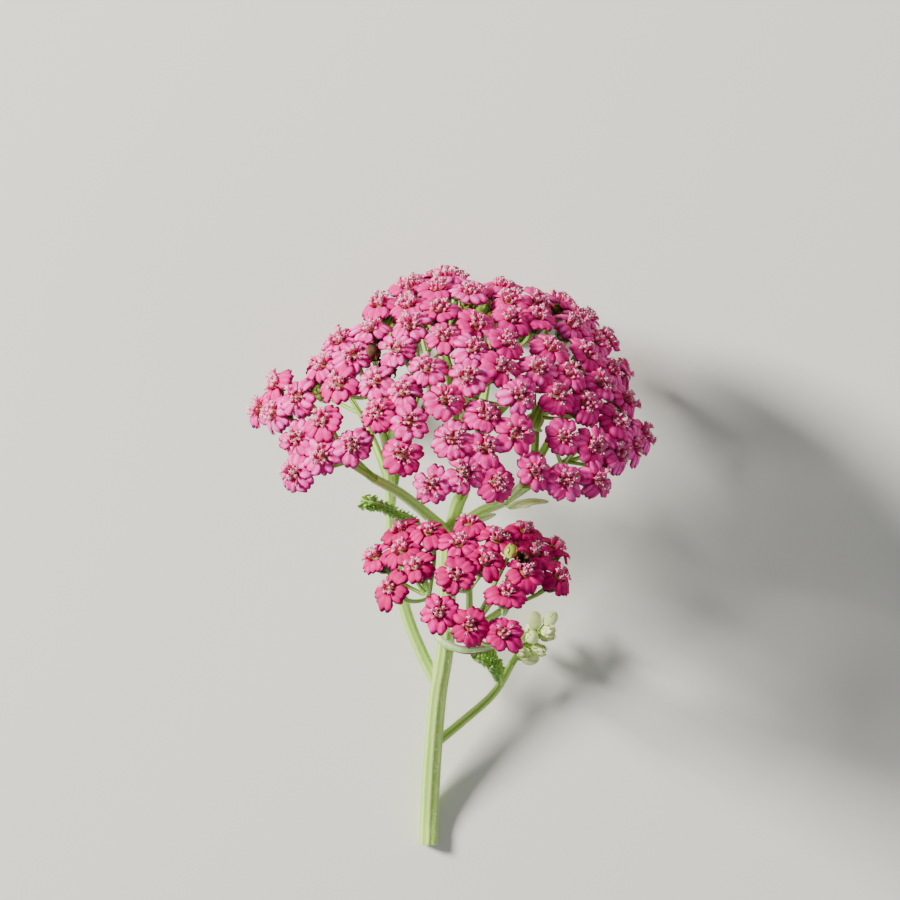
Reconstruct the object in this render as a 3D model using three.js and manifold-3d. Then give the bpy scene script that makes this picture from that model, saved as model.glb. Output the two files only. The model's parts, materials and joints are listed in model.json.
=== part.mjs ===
// A flowering stem of pink garden yarrow, cut and laid on its back on a flat surface.
// The surface is z = 0. X runs across the stem, +Y along it towards the flowers.
// The flower heads stand on two domes: a broad one on top of the stem and a small one in front of it.
// Every spray of heads is two solids: the green stalks with their cups, and the pink rays with their discs.

import * as THREE from 'three';
import { mergeVertices } from 'three/addons/utils/BufferGeometryUtils.js';
import Module from 'manifold-3d';

const wasm = await Module();
wasm.setup();

// ---------------------------------------------------------------- driving dimensions (mm, degrees)

const STEM_RISE = 21;             // the stem's axis rises at this angle from the surface
const LIGHT_HEIGHT = 28;          // some sprays lean towards light from this height in front of the plant

const HEAD_RADIUS = 3.6;          // tips of the rays
const NOTCH_RADIUS = 1.8;         // between two rays
const RAY_COUNT = 5;
const RAY_SHOULDER = 25;          // half the angle that the blunt end of a ray spans
const RAY_THICKNESS = 0.62;       // over the keel under its middle
const KEEL_RADIUS = 3.3;          // outer end of the keel
const RAY_DROP = 0.35;            // the tips hang this much below the root
const DISC_RADIUS = 1.35;
const DISC_TOP_RADIUS = 0.95;
const DISC_RISE = 1.35;
const WHORL_DEPTH = 0.95;         // underside of the whorl at its middle

const CUP_RADIUS = 1.75;
const CUP_DEPTH = 2.8;
const PEDICEL_RADIUS = 0.42;
const KNOT_DEPTH = 10.5;          // from a spray's heads down to its knot
const LIMB_RADII = [0.85, 0.75, 0.65];
const LIMB_BEND = 0.25;           // how far a limb follows its branch before it turns away
const STUB_LENGTH = 3;            // the end of a limb that belongs to the spray it carries
const PEDICEL_SIDES = 4;
const ROOT_SPREAD = 0.8;          // share of the stub over which the pedicels root
const LAST_ROOT = 0.93;           // share of the stub at which the innermost ones root
const SEAT_GAP = 0.3;             // between two solids that touch on the plant

const LINK_SPACING = 5.95;        // from a head to the nearest older one of its spray
const HEAD_SPACING = 6.3;         // least distance between the other heads of a spray
const SPRAY_SPACING = 7.35;       // least distance between heads of different sprays
const SPRAY_SWELL = 28;           // radius of the small dome that each spray forms
const SPIRAL_STEP = 3.4;
const GOLDEN_ANGLE = 137.508;
const HEAD_TILT = 0.16;           // spread of the heads' random tilts, as a slope
const HEAD_LIFT = 0.3;            // spread of their random heights
const RAY_SWAY = 0.3;             // spread of their random turns about the direction to the next head
const LEAST_HEIGHT = 2.4;         // of the middle of a head above the surface
const REST_REACH = 0.9;           // a head whose lowest point is nearer to the surface lies on it
const FLAT_DEPTH = 0.15;          // what lies on the surface is flattened by this much
const SETTLE_ROUNDS = 120;

const BLADE_THICKNESS = 0.62;
const BLADE_END_WIDTH = 0.25;     // of a leaf at its tip, as a share of its widest
const BLADE_ROOT_SHARE = 0.15;    // where on its swelling outline a leaf begins
const BLADE_HOLLOW = 0.12;        // how far the margins rise over the midrib, as a share of the width
const TOOTH_SWEEP = 0.4;          // how far the teeth point forward near the root

const BUD_COUNT = 12;
const BUD_LENGTH = 2.7;
const BUD_REACH = 2.7;            // from the bud stalk to the buds
const BUD_START = 0.08;           // share of the stalk where they begin
const BUD_CLOSING = 0.6;          // share of the stalk from which they close over its end
const BUD_RADII = [0.3, 0.45, 1.15, 0.5];

// Middles of the two domes, and their radii
const CROWN = { middle: [0, 0, 29], radius: 40 };
const LOWER = { middle: [3.4, -26.3, 42.4], radius: 25 };

// Centre lines of the stem and its main branches, with their radii from root to end, and how finely each
// is split. ribs is how deep the furrows are, as a share of the radius.
const TRUNK = {
  steps: 8,
  sides: 12,
  ribs: 0.13,
  line: [[-4.2, -71, 1.35], [-4.0, -66, 1.55], [-3.6, -58, 4.2], [-3.1, -50, 7.7], [-2.3, -40.6, 11.8],
    [-0.9, -30.9, 16.2], [-0.5, -21.2, 20.5], [-0.6, -11.7, 24.5], [0.2, -7.7, 26.1]],
  radii: [1.8, 1.75, 1.65, 1.5],
};
const CROWN_STEM = {
  steps: 3,
  sides: 6,
  line: [[-0.2, -9.5, 25.4], [1.3, -2.9, 27.9], [2.4, 0, 29], [2.3, 6, 31.4], [1.6, 12, 33.6]],
  radii: [1.3, 1.25, 1.1, 0.9],
};
const SECOND_STEM = {
  steps: 4,
  sides: 6,
  line: [[-2.4, -38.6, 12.5], [-5.5, -32.1, 13.4], [-8.5, -23.5, 15.2], [-10.7, -10.4, 19.1],
    [-11, -2, 22.2], [-11.2, 8, 25.6]],
  radii: [1.2, 1.1, 1.05, 0.8],
};
const LEFT_BRANCH = {
  steps: 3,
  sides: 5,
  line: [[0, -8.6, 25.8], [-3.6, -4.8, 30.4], [-9.1, 0.8, 38.9], [-13.6, 4.2, 45.1]],
  radii: [1.1, 1.0, 0.9],
};
const RIGHT_BRANCH = {
  steps: 3,
  sides: 5,
  line: [[0.6, -7.8, 26.1], [5.5, -3.8, 30.8], [10, -0.7, 38.4], [13.5, 2.8, 43]],
  radii: [1.05, 0.95, 0.85],
};
const LOWER_BRANCH = {
  steps: 3,
  sides: 5,
  line: [[-0.7, -26.3, 18.5], [0.5, -26, 24.4], [2, -25.9, 29.8], [2.9, -25.4, 35.3]],
  radii: [1.0, 0.95, 0.9],
};
const SIDE_SHOOT = {
  steps: 3,
  sides: 5,
  line: [[-3, -51, 7.3], [2, -47, 6.4], [8.2, -41.4, 6.2], [11.6, -35.5, 7.4]],
  radii: [0.9, 0.8, 0.7],
};
const BUD_STALK = {
  steps: 3,
  sides: 5,
  line: [[11.75, -35.2, 7.45], [12.9, -33.4, 8], [14.8, -31.3, 8.6], [16.8, -29, 9.6]],
  radii: [0.7, 0.6, 0.4],
};
const WITHERED = { azimuth: -48, polar: 27, distance: 36.5, radius: 1.7, length: 3.6 };

// The sprays. azimuth turns round the dome's axis from the front to the right, polar opens from the
// axis, rise lifts a spray off the dome, turn and stretch lay out its heads, and lean faces it to the light.
const CROWN_SPRAYS = [
  { name: 'left_low', from: LEFT_BRANCH, at: 0.85, azimuth: -43, polar: 52,
    heads: 5, turn: 56, stretch: 0.75, lean: 0.35 },
  { name: 'left_rim', from: LEFT_BRANCH, at: 1, azimuth: -66, polar: 52, rise: 1.5,
    heads: 4, turn: 72, stretch: 0.6 },
  { name: 'left_top', from: SECOND_STEM, at: 0.88, azimuth: -51.5, polar: 30.5,
    heads: 5, turn: 231, stretch: 1.35 },
  { name: 'centre_left', from: SECOND_STEM, at: 0.94, azimuth: -17.5, polar: 38.5,
    heads: 6, turn: 224, stretch: 1.15 },
  { name: 'top_left', from: SECOND_STEM, at: 1, azimuth: -49, polar: 15,
    heads: 5, turn: 249, stretch: 1.2 },
  { name: 'top', from: CROWN_STEM, at: 1, azimuth: 154.5, polar: 4,
    heads: 4, turn: 260, stretch: 1.45 },
  { name: 'top_right', from: CROWN_STEM, at: 0.9, azimuth: 70, polar: 17,
    heads: 5, turn: 117, stretch: 1.4 },
  { name: 'centre', from: CROWN_STEM, at: 0.72, azimuth: 21, polar: 30, rise: 0.5,
    heads: 8, turn: 245, stretch: 1.1 },
  { name: 'front_low', from: CROWN_STEM, at: 0.3, azimuth: 9.5, polar: 46.5,
    heads: 7, turn: 320, stretch: 1.35 },
  { name: 'right_top', from: CROWN_STEM, at: 0.6, azimuth: 102, polar: 38.5,
    heads: 7, turn: 259, stretch: 0.65 },
  { name: 'right_mid', from: RIGHT_BRANCH, at: 1, azimuth: 44.5, polar: 35.5,
    heads: 5, turn: 143, stretch: 0.8 },
  { name: 'right_rim', from: RIGHT_BRANCH, at: 0.85, azimuth: 70.5, polar: 43.5,
    heads: 4, turn: 35, stretch: 1.75 },
  { name: 'right_low', from: RIGHT_BRANCH, at: 0.7, azimuth: 54.5, polar: 56,
    heads: 7, turn: 19, stretch: 2.1 },
  { name: 'back_top', from: CROWN_STEM, at: 0.95, azimuth: 187, polar: 24, rise: -1.5,
    heads: 3, turn: 61, stretch: 1.7 },
  { name: 'side_left', from: SECOND_STEM, at: 0.8, azimuth: -135, polar: 72, rise: -5,
    heads: 3, turn: 15, stretch: 1.2 },
  { name: 'side_right', from: CROWN_STEM, at: 0.48, azimuth: 124, polar: 70, rise: -1,
    heads: 3, turn: 75, stretch: 1.2 },
  { name: 'back_left', from: SECOND_STEM, at: 0.7, azimuth: -172, polar: 62,
    heads: 4, turn: 120 },
  { name: 'back_right', from: CROWN_STEM, at: 0.4, azimuth: 166, polar: 61,
    heads: 4, turn: 230 },
  { name: 'front_right', from: RIGHT_BRANCH, at: 0.5, azimuth: 27, polar: 53.5,
    heads: 2, turn: 268, stretch: 0.65 },
];
const LOWER_SPRAYS = [
  { name: 'lower_left', from: LOWER_BRANCH, at: 0.8, azimuth: -59, polar: 27,
    heads: 6, turn: 246, stretch: 1.1 },
  { name: 'lower_middle', from: LOWER_BRANCH, at: 1, azimuth: 10.5, polar: 22.5,
    heads: 5, turn: 66, stretch: 1.15 },
  { name: 'lower_front', from: LOWER_BRANCH, at: 0.7, azimuth: -3, polar: 45,
    heads: 3, turn: 42 },
  { name: 'lower_right', from: LOWER_BRANCH, at: 0.9, azimuth: 56, polar: 26.5,
    heads: 6, turn: 24, stretch: 1.3 },
];
const SPRAYS = [
  ...CROWN_SPRAYS.map((spray) => ({ ...spray, on: CROWN })),
  ...LOWER_SPRAYS.map((spray) => ({ ...spray, on: LOWER })),
];

// The leaves: the midrib, half the width, the number of teeth, how deep they are cut and where they face
const LEAVES = [
  { name: 'leaf_cut', width: 1.9, teeth: 6, cut: 0.6, face: [-0.2, -0.3, 0.9],
    line: [[-4.4, -7.4, 28.4], [-6.9, -4.9, 32.6], [-9.1, -3.6, 35.7], [-11.3, -2.1, 38.4], [-13.6, -1, 40.4],
      [-16.2, -0.3, 41.2]] },
  { name: 'leaf_under', width: 1.3, teeth: 7, cut: 0.3, face: [0, -0.5, 0.8],
    line: [[-2.5, -21.9, 20.9], [-4.3, -23.2, 25.1], [-2.9, -25.6, 29.1], [-1.3, -27.4, 31.7],
      [1.8, -28.6, 32.9], [5.5, -28.8, 32.2], [9.1, -28.2, 31.2], [12.2, -26.6, 30.7]] },
  { name: 'leaf_side', width: 2.2, teeth: 4, cut: 0.65, face: [0.3, 0.2, 0.9],
    line: [[9.6, -39.2, 7.9], [8.7, -35.9, 11.1], [7.1, -33.6, 12.4], [5.5, -32.4, 12.8]] },
  { name: 'bract_centre', width: 2.2, teeth: 4, cut: 0.3, face: [0, -0.2, 0.95],
    line: [[14.1, 13.5, 48.2], [14.4, 14.2, 51.9], [16, 18.6, 54.9]] },
  { name: 'bract_high', width: 1.6, teeth: 3, cut: 0.4, face: [0.2, 0, 0.9],
    line: [[21.9, 23.1, 37.6], [21.4, 23.5, 41], [23, 24.8, 43], [24.9, 26.2, 42]] },
  { name: 'bract_arch', width: 1.5, teeth: 3, cut: 0.25, face: [0, -0.6, 0.8],
    line: [[10.9, -1.7, 40.8], [12, -0.5, 45.2], [14.5, 0.5, 48.2], [17.5, 0.7, 49.7]] },
  { name: 'bract_fork', width: 1.2, teeth: 2, cut: 0.2, face: [0, -0.6, 0.8],
    line: [[3, -6.5, 30], [5.5, -4.7, 33], [8.2, -3.4, 36]] },
];

// ---------------------------------------------------------------- the plant's own frame

const radians = THREE.MathUtils.degToRad;
const vector = (point) => new THREE.Vector3(...point);

const slope = radians(STEM_RISE);
const light = radians(LIGHT_HEIGHT);
const RIGHT = new THREE.Vector3(1, 0, 0);
const FRONT = new THREE.Vector3(0, -Math.sin(slope), Math.cos(slope));
const ALONG = new THREE.Vector3(0, Math.cos(slope), Math.sin(slope));
const LIGHT = direction(0, Math.cos(light), Math.sin(light));

// A direction given by its parts to the right, to the front and along the stem
function direction(right, front, along) {
  return new THREE.Vector3()
    .addScaledVector(RIGHT, right).addScaledVector(FRONT, front).addScaledVector(ALONG, along);
}

// The outward direction at a place of a dome
function outwardAt(azimuth, polar) {
  return direction(Math.sin(polar) * Math.sin(azimuth), Math.sin(polar) * Math.cos(azimuth), Math.cos(polar));
}

// The part of a direction that is square to a unit vector, as a unit vector
function squareTo(unit, towards) {
  return towards.clone().addScaledVector(unit, -towards.dot(unit)).normalize();
}

// Repeatable random numbers between -0.5 and 0.5
function randomDraw(seed) {
  let state = seed;
  return () => {
    state = (state * 48271) % 2147483647;
    return state / 2147483647 - 0.5;
  };
}

// ---------------------------------------------------------------- where the heads stand

// The heads of one spray on its spiral, before their neighbours push them
function layOut(spray, index) {
  const { stretch = 1, rise = 0, lean = 0 } = spray;
  const draw = randomDraw(1000 + 77 * index);
  const [azimuth, polar, turn] = [radians(spray.azimuth), radians(spray.polar), radians(spray.turn)];
  const outward = outwardAt(azimuth, polar);
  const facing = outward.clone().multiplyScalar(1 - lean).addScaledVector(LIGHT, lean).normalize();
  const east = squareTo(facing, direction(Math.cos(azimuth), -Math.sin(azimuth), 0));
  const south = east.clone().cross(facing);
  const centre = vector(spray.on.middle);
  const middle = centre.clone().addScaledVector(outward, spray.on.radius + rise);
  return Array.from({ length: spray.heads }, (_, k) => {
    const radius = SPIRAL_STEP * Math.sqrt(k + 0.5);
    const angle = radians(GOLDEN_ANGLE) * k;
    const long = radius * Math.cos(angle) * stretch;
    const wide = (radius * Math.sin(angle)) / Math.sqrt(stretch);
    const p = long * Math.cos(turn) - wide * Math.sin(turn);
    const q = long * Math.sin(turn) + wide * Math.cos(turn);
    const lift = HEAD_LIFT * draw() - (p * p + q * q) / (2 * SPRAY_SWELL);
    const point = middle.clone()
      .addScaledVector(facing, lift).addScaledVector(east, p).addScaledVector(south, q);
    const normal = facing.clone()
      .addScaledVector(east, p / SPRAY_SWELL + HEAD_TILT * draw())
      .addScaledVector(south, q / SPRAY_SWELL + HEAD_TILT * draw()).normalize();
    const distance = point.distanceTo(centre);
    return { spray: index, point, normal, centre, distance, sway: RAY_SWAY * draw() };
  });
}

// Moves two heads along the line between them until they are the wanted distance apart
function spaceOut(a, b, wanted) {
  const offset = b.point.clone().sub(a.point);
  const distance = offset.length();
  offset.multiplyScalar((wanted - distance) / (2 * distance));
  a.point.sub(offset);
  b.point.add(offset);
}

// The nearest older head of the same spray
function olderNeighbour(heads, i) {
  const older = heads.filter((other, j) => j < i && other.spray === heads[i].spray);
  const apart = (other) => heads[i].point.distanceTo(other.point);
  return older.reduce((best, other) => (best && apart(best) <= apart(other) ? best : other), null);
}

// Spreads crowded heads over the domes, each staying at its own distance from the dome's middle
function settle(heads) {
  heads.forEach((head, i) => {
    head.link = olderNeighbour(heads, i);
  });
  for (let round = 0; round < SETTLE_ROUNDS; round += 1) {
    heads.forEach((head, i) => {
      for (let j = 0; j < i; j += 1) {
        const other = heads[j];
        const together = head.spray === other.spray;
        const least = together ? HEAD_SPACING : SPRAY_SPACING;
        if (head.link === other) spaceOut(head, other, LINK_SPACING);
        else if (head.point.distanceTo(other.point) < least) spaceOut(head, other, least);
      }
    });
    heads.forEach((head) => {
      head.point.sub(head.centre).setLength(head.distance).add(head.centre);
      head.point.z = Math.max(head.point.z, LEAST_HEIGHT);
    });
  }
}

// Lays the heads that hang next to the surface on it, sunk by the depth of the flat that they get there
function layDown(heads) {
  const whorl = whorlGeometry();
  heads.forEach((head) => {
    const low = whorl.clone().applyMatrix4(standing(head));
    low.computeBoundingBox();
    const lowest = low.boundingBox.min.z;
    if (lowest < REST_REACH) head.point.z -= lowest + FLAT_DEPTH;
  });
}

// ---------------------------------------------------------------- solids

function toGeometry(positions, faces) {
  const geometry = new THREE.BufferGeometry();
  geometry.setAttribute('position', new THREE.Float32BufferAttribute(positions, 3));
  geometry.setIndex(faces);
  return geometry;
}

function toSolid(geometry) {
  geometry.deleteAttribute('normal');
  geometry.deleteAttribute('uv');
  const merged = mergeVertices(geometry, 1e-4);
  return new wasm.Manifold(new wasm.Mesh({
    numProp: 3,
    vertProperties: new Float32Array(merged.getAttribute('position').array),
    triVerts: new Uint32Array(merged.index.array),
  }));
}

const join = (solids) => solids.reduce((whole, solid) => whole.add(solid));

// Everything below the surface that the plant lies on
function underground() {
  const block = new THREE.BoxGeometry(400, 400, 20);
  block.translate(0, 0, -10);
  return toSolid(block);
}

// A closed skin over rings of points, all with the same number of points
function skin(rings) {
  const count = rings[0].length;
  const faces = [];
  for (let i = 0; i < rings.length - 1; i += 1) {
    for (let j = 0; j < count; j += 1) {
      const next = (j + 1) % count;
      const [a, b, c, d] = [i * count + j, i * count + next, (i + 1) * count + next, (i + 1) * count + j];
      faces.push(a, b, c, a, c, d);
    }
  }
  const last = (rings.length - 1) * count;
  for (let j = 1; j < count - 1; j += 1) faces.push(0, j + 1, j, last, last + j, last + j + 1);
  return toSolid(toGeometry(rings.flat().flatMap((point) => point.toArray()), faces));
}

// A stalk through the given points; ribs makes its section a star
function stalk(points, radii, sides, ribs = 0) {
  let side = RIGHT;
  return skin(points.map((point, i) => {
    const before = points[Math.max(i - 1, 0)];
    const after = points[Math.min(i + 1, points.length - 1)];
    const ahead = after.clone().sub(before).normalize();
    if (i === 0 && Math.abs(ahead.x) > 0.9) side = ALONG;
    side = squareTo(ahead, side);
    const other = ahead.clone().cross(side);
    return Array.from({ length: sides }, (_, j) => {
      const angle = (2 * Math.PI * j) / sides;
      const radius = radii[i] * (1 - (j % 2) * ribs);
      return point.clone()
        .addScaledVector(side, radius * Math.cos(angle)).addScaledVector(other, radius * Math.sin(angle));
    });
  }));
}

// The value at share t of the way along a short list
function alongList(values, t) {
  const place = t * (values.length - 1);
  const index = Math.min(Math.floor(place), values.length - 2);
  return THREE.MathUtils.lerp(values[index], values[index + 1], place - index);
}

const smoothLine = ({ line }) => new THREE.CatmullRomCurve3(line.map(vector), false, 'centripetal');

// A stem along a curve, from share start to share end of its length
function stem(curve, radii, { steps, sides, ribs = 0, start = 0, end = 1 }) {
  const shares = Array.from({ length: steps + 1 }, (_, i) => start + ((end - start) * i) / steps);
  return stalk(shares.map((t) => curve.getPointAt(t)), shares.map((t) => alongList(radii, t)), sides, ribs);
}

const branchSolid = (branch) => stem(smoothLine(branch), branch.radii, branch);

// ---------------------------------------------------------------- flower heads

// The matrix that stands a head on its place, with one ray towards the head that it is linked to
function standing(head) {
  const helper = head.link ? head.link.point.clone().sub(head.point) : RIGHT;
  const u = squareTo(head.normal, helper);
  const v = head.normal.clone().cross(u);
  const place = new THREE.Matrix4().makeBasis(u, v, head.normal);
  place.setPosition(head.point);
  return place.multiply(new THREE.Matrix4().makeRotationZ(head.sway));
}

// Rays round a raised disc, in one closed body: blunt rays, keeled beneath, and the mound of disc florets
function whorlGeometry() {
  const positions = [];
  const step = (2 * Math.PI) / RAY_COUNT;
  const ring = (radius, turn, z) => Array.from({ length: RAY_COUNT }, (_, i) => {
    const angle = i * step + turn;
    positions.push(radius * Math.cos(angle), radius * Math.sin(angle), z);
    return positions.length / 3 - 1;
  });
  const shoulder = radians(RAY_SHOULDER);
  const crown = ring(DISC_TOP_RADIUS, step / 2, DISC_RISE);
  const root = ring(DISC_RADIUS, step / 2, 0);
  const notch = ring(NOTCH_RADIUS, step / 2, -RAY_THICKNESS / 2);
  const left = ring(HEAD_RADIUS, -shoulder, -RAY_DROP);
  const right = ring(HEAD_RADIUS, shoulder, -RAY_DROP);
  const keel = ring(KEEL_RADIUS, 0, -RAY_DROP - RAY_THICKNESS);
  const bottom = positions.push(0, 0, -WHORL_DEPTH) / 3 - 1;
  const faces = [];
  for (let i = 0; i < RAY_COUNT; i += 1) {
    const before = (i + RAY_COUNT - 1) % RAY_COUNT;
    const [l, r, k] = [left[i], right[i], keel[i]];
    const [n0, n1, r0, r1] = [notch[before], notch[i], root[before], root[i]];
    faces.push(r0, n0, l, r0, l, r, r0, r, r1, r1, r, n1);
    faces.push(n0, k, l, l, k, r, r, k, n1, bottom, k, n0, bottom, n1, k);
    faces.push(crown[before], r0, r1, crown[before], r1, crown[i]);
    if (i > 0 && i < RAY_COUNT - 1) faces.push(crown[0], crown[i], crown[i + 1]);
  }
  return toGeometry(positions, faces);
}

function raysOf(heads) {
  const whorl = whorlGeometry();
  return join(heads.map((head) => toSolid(whorl.clone().applyMatrix4(standing(head)))));
}

// A pedicel from its root on the limb that widens into the green cup under the rays
function pedicel(root, head) {
  const seat = WHORL_DEPTH + SEAT_GAP;
  const below = (depth) => head.point.clone().addScaledVector(head.normal, -depth);
  const radii = [PEDICEL_RADIUS, PEDICEL_RADIUS, CUP_RADIUS];
  return stalk([root, below(seat + CUP_DEPTH), below(seat)], radii, PEDICEL_SIDES);
}

// ---------------------------------------------------------------- sprays

// The limb from a branch to the knot of a spray, and where the spray's own stub begins
function limbOf({ from, at }, knot) {
  const branch = smoothLine(from);
  const root = branch.getPointAt(at);
  const bend = root.clone().addScaledVector(branch.getTangentAt(at), root.distanceTo(knot) * LIMB_BEND);
  const curve = new THREE.QuadraticBezierCurve3(root, bend, knot);
  const length = curve.getLength();
  return { curve, split: 1 - STUB_LENGTH / length, gap: SEAT_GAP / length };
}

// Everything that is worked out for one spray: its heads, its knot and its limb
function grow(spray, index, heads) {
  const own = heads.filter((head) => head.spray === index);
  const middle = own.reduce((sum, head) => sum.add(head.point), new THREE.Vector3()).divideScalar(own.length);
  const facing = own.reduce((sum, head) => sum.add(head.normal), new THREE.Vector3()).normalize();
  const knot = middle.addScaledVector(facing, -KNOT_DEPTH);
  return { ...spray, own, knot, limb: limbOf(spray, knot) };
}

function limbSolid({ limb }) {
  return stem(limb.curve, LIMB_RADII, { steps: 2, sides: 4, end: limb.split });
}

// The stub of the limb with the pedicels, the outer ones rooted lower on it than the inner ones
function stalksOf({ own, limb }) {
  const first = limb.split + limb.gap;
  const stub = stem(limb.curve, LIMB_RADII, { steps: 1, sides: 5, start: first });
  const pedicels = own.map((head, k) => {
    const share = Math.min(1 - (k / own.length) * ROOT_SPREAD, LAST_ROOT);
    return pedicel(limb.curve.getPointAt(first + (1 - first) * share), head);
  });
  return join([stub, ...pedicels]);
}

// ---------------------------------------------------------------- leaves, buds and the withered head

// A blade cut into teeth: a thin closed body whose upper and lower faces are split alike
function leafSolid({ line, width, teeth, cut, face }) {
  const curve = smoothLine({ line });
  const stations = 2 * teeth + 1;
  const positions = [];
  for (let i = 0; i <= stations; i += 1) {
    const t = i / stations;
    const middle = curve.getPointAt(t);
    const ahead = curve.getTangentAt(t);
    const up = squareTo(ahead, vector(face));
    const side = ahead.clone().cross(up);
    const swell = Math.sin(Math.PI * (BLADE_ROOT_SHARE + (1 - BLADE_ROOT_SHARE) * t));
    const outline = width * (BLADE_END_WIDTH + (1 - BLADE_END_WIDTH) * swell);
    const reach = outline * (i % 2 === 0 ? 1 - cut : 1);
    const sweep = i % 2 === 0 ? 0 : TOOTH_SWEEP * reach * (1 - t);
    for (const level of [BLADE_THICKNESS / 2, -BLADE_THICKNESS / 2]) {
      for (const across of [-1, 0, 1]) {
        const point = middle.clone().addScaledVector(up, level + BLADE_HOLLOW * width * Math.abs(across))
          .addScaledVector(side, across * reach).addScaledVector(ahead, Math.abs(across) * sweep);
        positions.push(...point.toArray());
      }
    }
  }
  return toSolid(toGeometry(positions, bladeFaces(stations)));
}

// Faces over stations of six points: three across the upper face, then three across the lower one
function bladeFaces(stations) {
  const faces = [];
  const quad = (a, b, c, d) => faces.push(a, b, c, a, c, d);
  for (let i = 0; i < stations; i += 1) {
    const [k, n] = [6 * i, 6 * (i + 1)];
    for (const j of [0, 1]) {
      quad(k + j, k + j + 1, n + j + 1, n + j);
      faces.push(k + 3 + j, n + 4 + j, k + 4 + j, k + 3 + j, n + 3 + j, n + 4 + j);
    }
    quad(k + 3, k, n, n + 3);
    quad(k + 2, k + 5, n + 5, n + 2);
  }
  const last = 6 * stations;
  for (const j of [0, 1]) {
    quad(j, j + 3, j + 4, j + 1);
    quad(last + j, last + j + 1, last + j + 4, last + j + 3);
  }
  return faces;
}

// Closed buds on short pedicels, turning round their stalk
function budSpray() {
  const curve = smoothLine(BUD_STALK);
  const buds = Array.from({ length: BUD_COUNT }, (_, k) => {
    const t = BUD_START + ((1 - BUD_START) * k) / (BUD_COUNT - 1);
    const root = curve.getPointAt(t);
    const ahead = curve.getTangentAt(t);
    const side = squareTo(ahead, RIGHT);
    const other = ahead.clone().cross(side);
    const angle = radians(GOLDEN_ANGLE) * k;
    const spread = 1 - 0.75 * Math.max(0, (t - BUD_CLOSING) / (1 - BUD_CLOSING));
    const out = side.multiplyScalar(Math.cos(angle)).addScaledVector(other, Math.sin(angle))
      .multiplyScalar(spread).addScaledVector(ahead, 0.6).normalize();
    const at = (distance) => root.clone().addScaledVector(out, distance);
    const half = BUD_LENGTH / 2;
    return stalk([root, at(BUD_REACH - half), at(BUD_REACH), at(BUD_REACH + half)], BUD_RADII, 4);
  });
  return join([branchSolid(BUD_STALK), ...buds]);
}

// A dried-up head on the end of its own limb
function witheredHead(place) {
  const { knot, limb } = place;
  const out = limb.curve.getTangentAt(1);
  const at = (distance) => knot.clone().addScaledVector(out, distance);
  const length = WITHERED.length;
  const radius = WITHERED.radius;
  const body = stalk([knot, at(0.15 * length), at(0.45 * length), at(0.7 * length), at(length)],
    [0.4, 0.8 * radius, radius, 0.7 * radius, 0.95 * radius], 6);
  return join([stem(limb.curve, [0.5, 0.5], { steps: 1, sides: 5, start: limb.split + limb.gap }), body]);
}

function witheredPlace() {
  const outward = outwardAt(radians(WITHERED.azimuth), radians(WITHERED.polar));
  const knot = vector(CROWN.middle).addScaledVector(outward, WITHERED.distance - WITHERED.length);
  return { knot, limb: limbOf({ from: SECOND_STEM, at: 0.97 }, knot) };
}

// ---------------------------------------------------------------- the whole plant

const PINK = 0xd95c98;
const MAGENTA = 0xcf2b74;
const STALK_GREEN = 0x93ab62;
const LEAF_GREEN = 0x6f9a4c;
const BUD_GREEN = 0xd3e08f;
const WITHERED_BROWN = 0x6b4a2b;

const plant = new THREE.Group();

function addNode(name, solid, color, roughness = 0.65) {
  const { vertProperties, triVerts } = solid.getMesh();
  const geometry = toGeometry(Array.from(vertProperties), Array.from(triVerts));
  geometry.computeVertexNormals();
  const mesh = new THREE.Mesh(geometry, new THREE.MeshStandardMaterial({ color, roughness, metalness: 0 }));
  mesh.name = name;
  plant.add(mesh);
}

const heads = SPRAYS.flatMap(layOut);
settle(heads);
layDown(heads);
const sprays = SPRAYS.map((spray, index) => grow(spray, index, heads));
const withered = witheredPlace();
const ground = underground();

sprays.forEach((spray) => {
  const color = spray.on === LOWER ? MAGENTA : PINK;
  addNode(`rays_${spray.name}`, raysOf(spray.own).subtract(ground), color, 0.55);
  addNode(`stalks_${spray.name}`, stalksOf(spray), STALK_GREEN);
});

const branches = [TRUNK, CROWN_STEM, SECOND_STEM, LEFT_BRANCH, RIGHT_BRANCH, LOWER_BRANCH, SIDE_SHOOT];
const limbs = [...sprays, withered].map(limbSolid);
addNode('main_stem', join([...branches.map(branchSolid), ...limbs]).subtract(ground), STALK_GREEN);

LEAVES.forEach((leaf) => addNode(leaf.name, leafSolid(leaf), LEAF_GREEN));
addNode('bud_spray', budSpray(), BUD_GREEN);
addNode('withered_head', witheredHead(withered), WITHERED_BROWN, 0.9);

// The origin is on the surface, under the middle of the plant's box
const box = new THREE.Box3().setFromObject(plant);
plant.position.set(-(box.min.x + box.max.x) / 2, -(box.min.y + box.max.y) / 2, -box.min.z);

export default plant;
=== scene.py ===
"""Dresses the cut stem of pink yarrow with its petals, florets, cups, stalks, leaves, buds and fine hairs.

Lengths in the tables and functions are millimetres in the stem's own frame, as in the part's source.
to_scene and in_metres turn them into the scene's metres.
"""

import json
from collections import namedtuple
from functools import partialmethod
from math import cos, pi, radians, sin, sqrt
from types import SimpleNamespace

import bpy
from mathutils import Matrix, Quaternion, Vector

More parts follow.
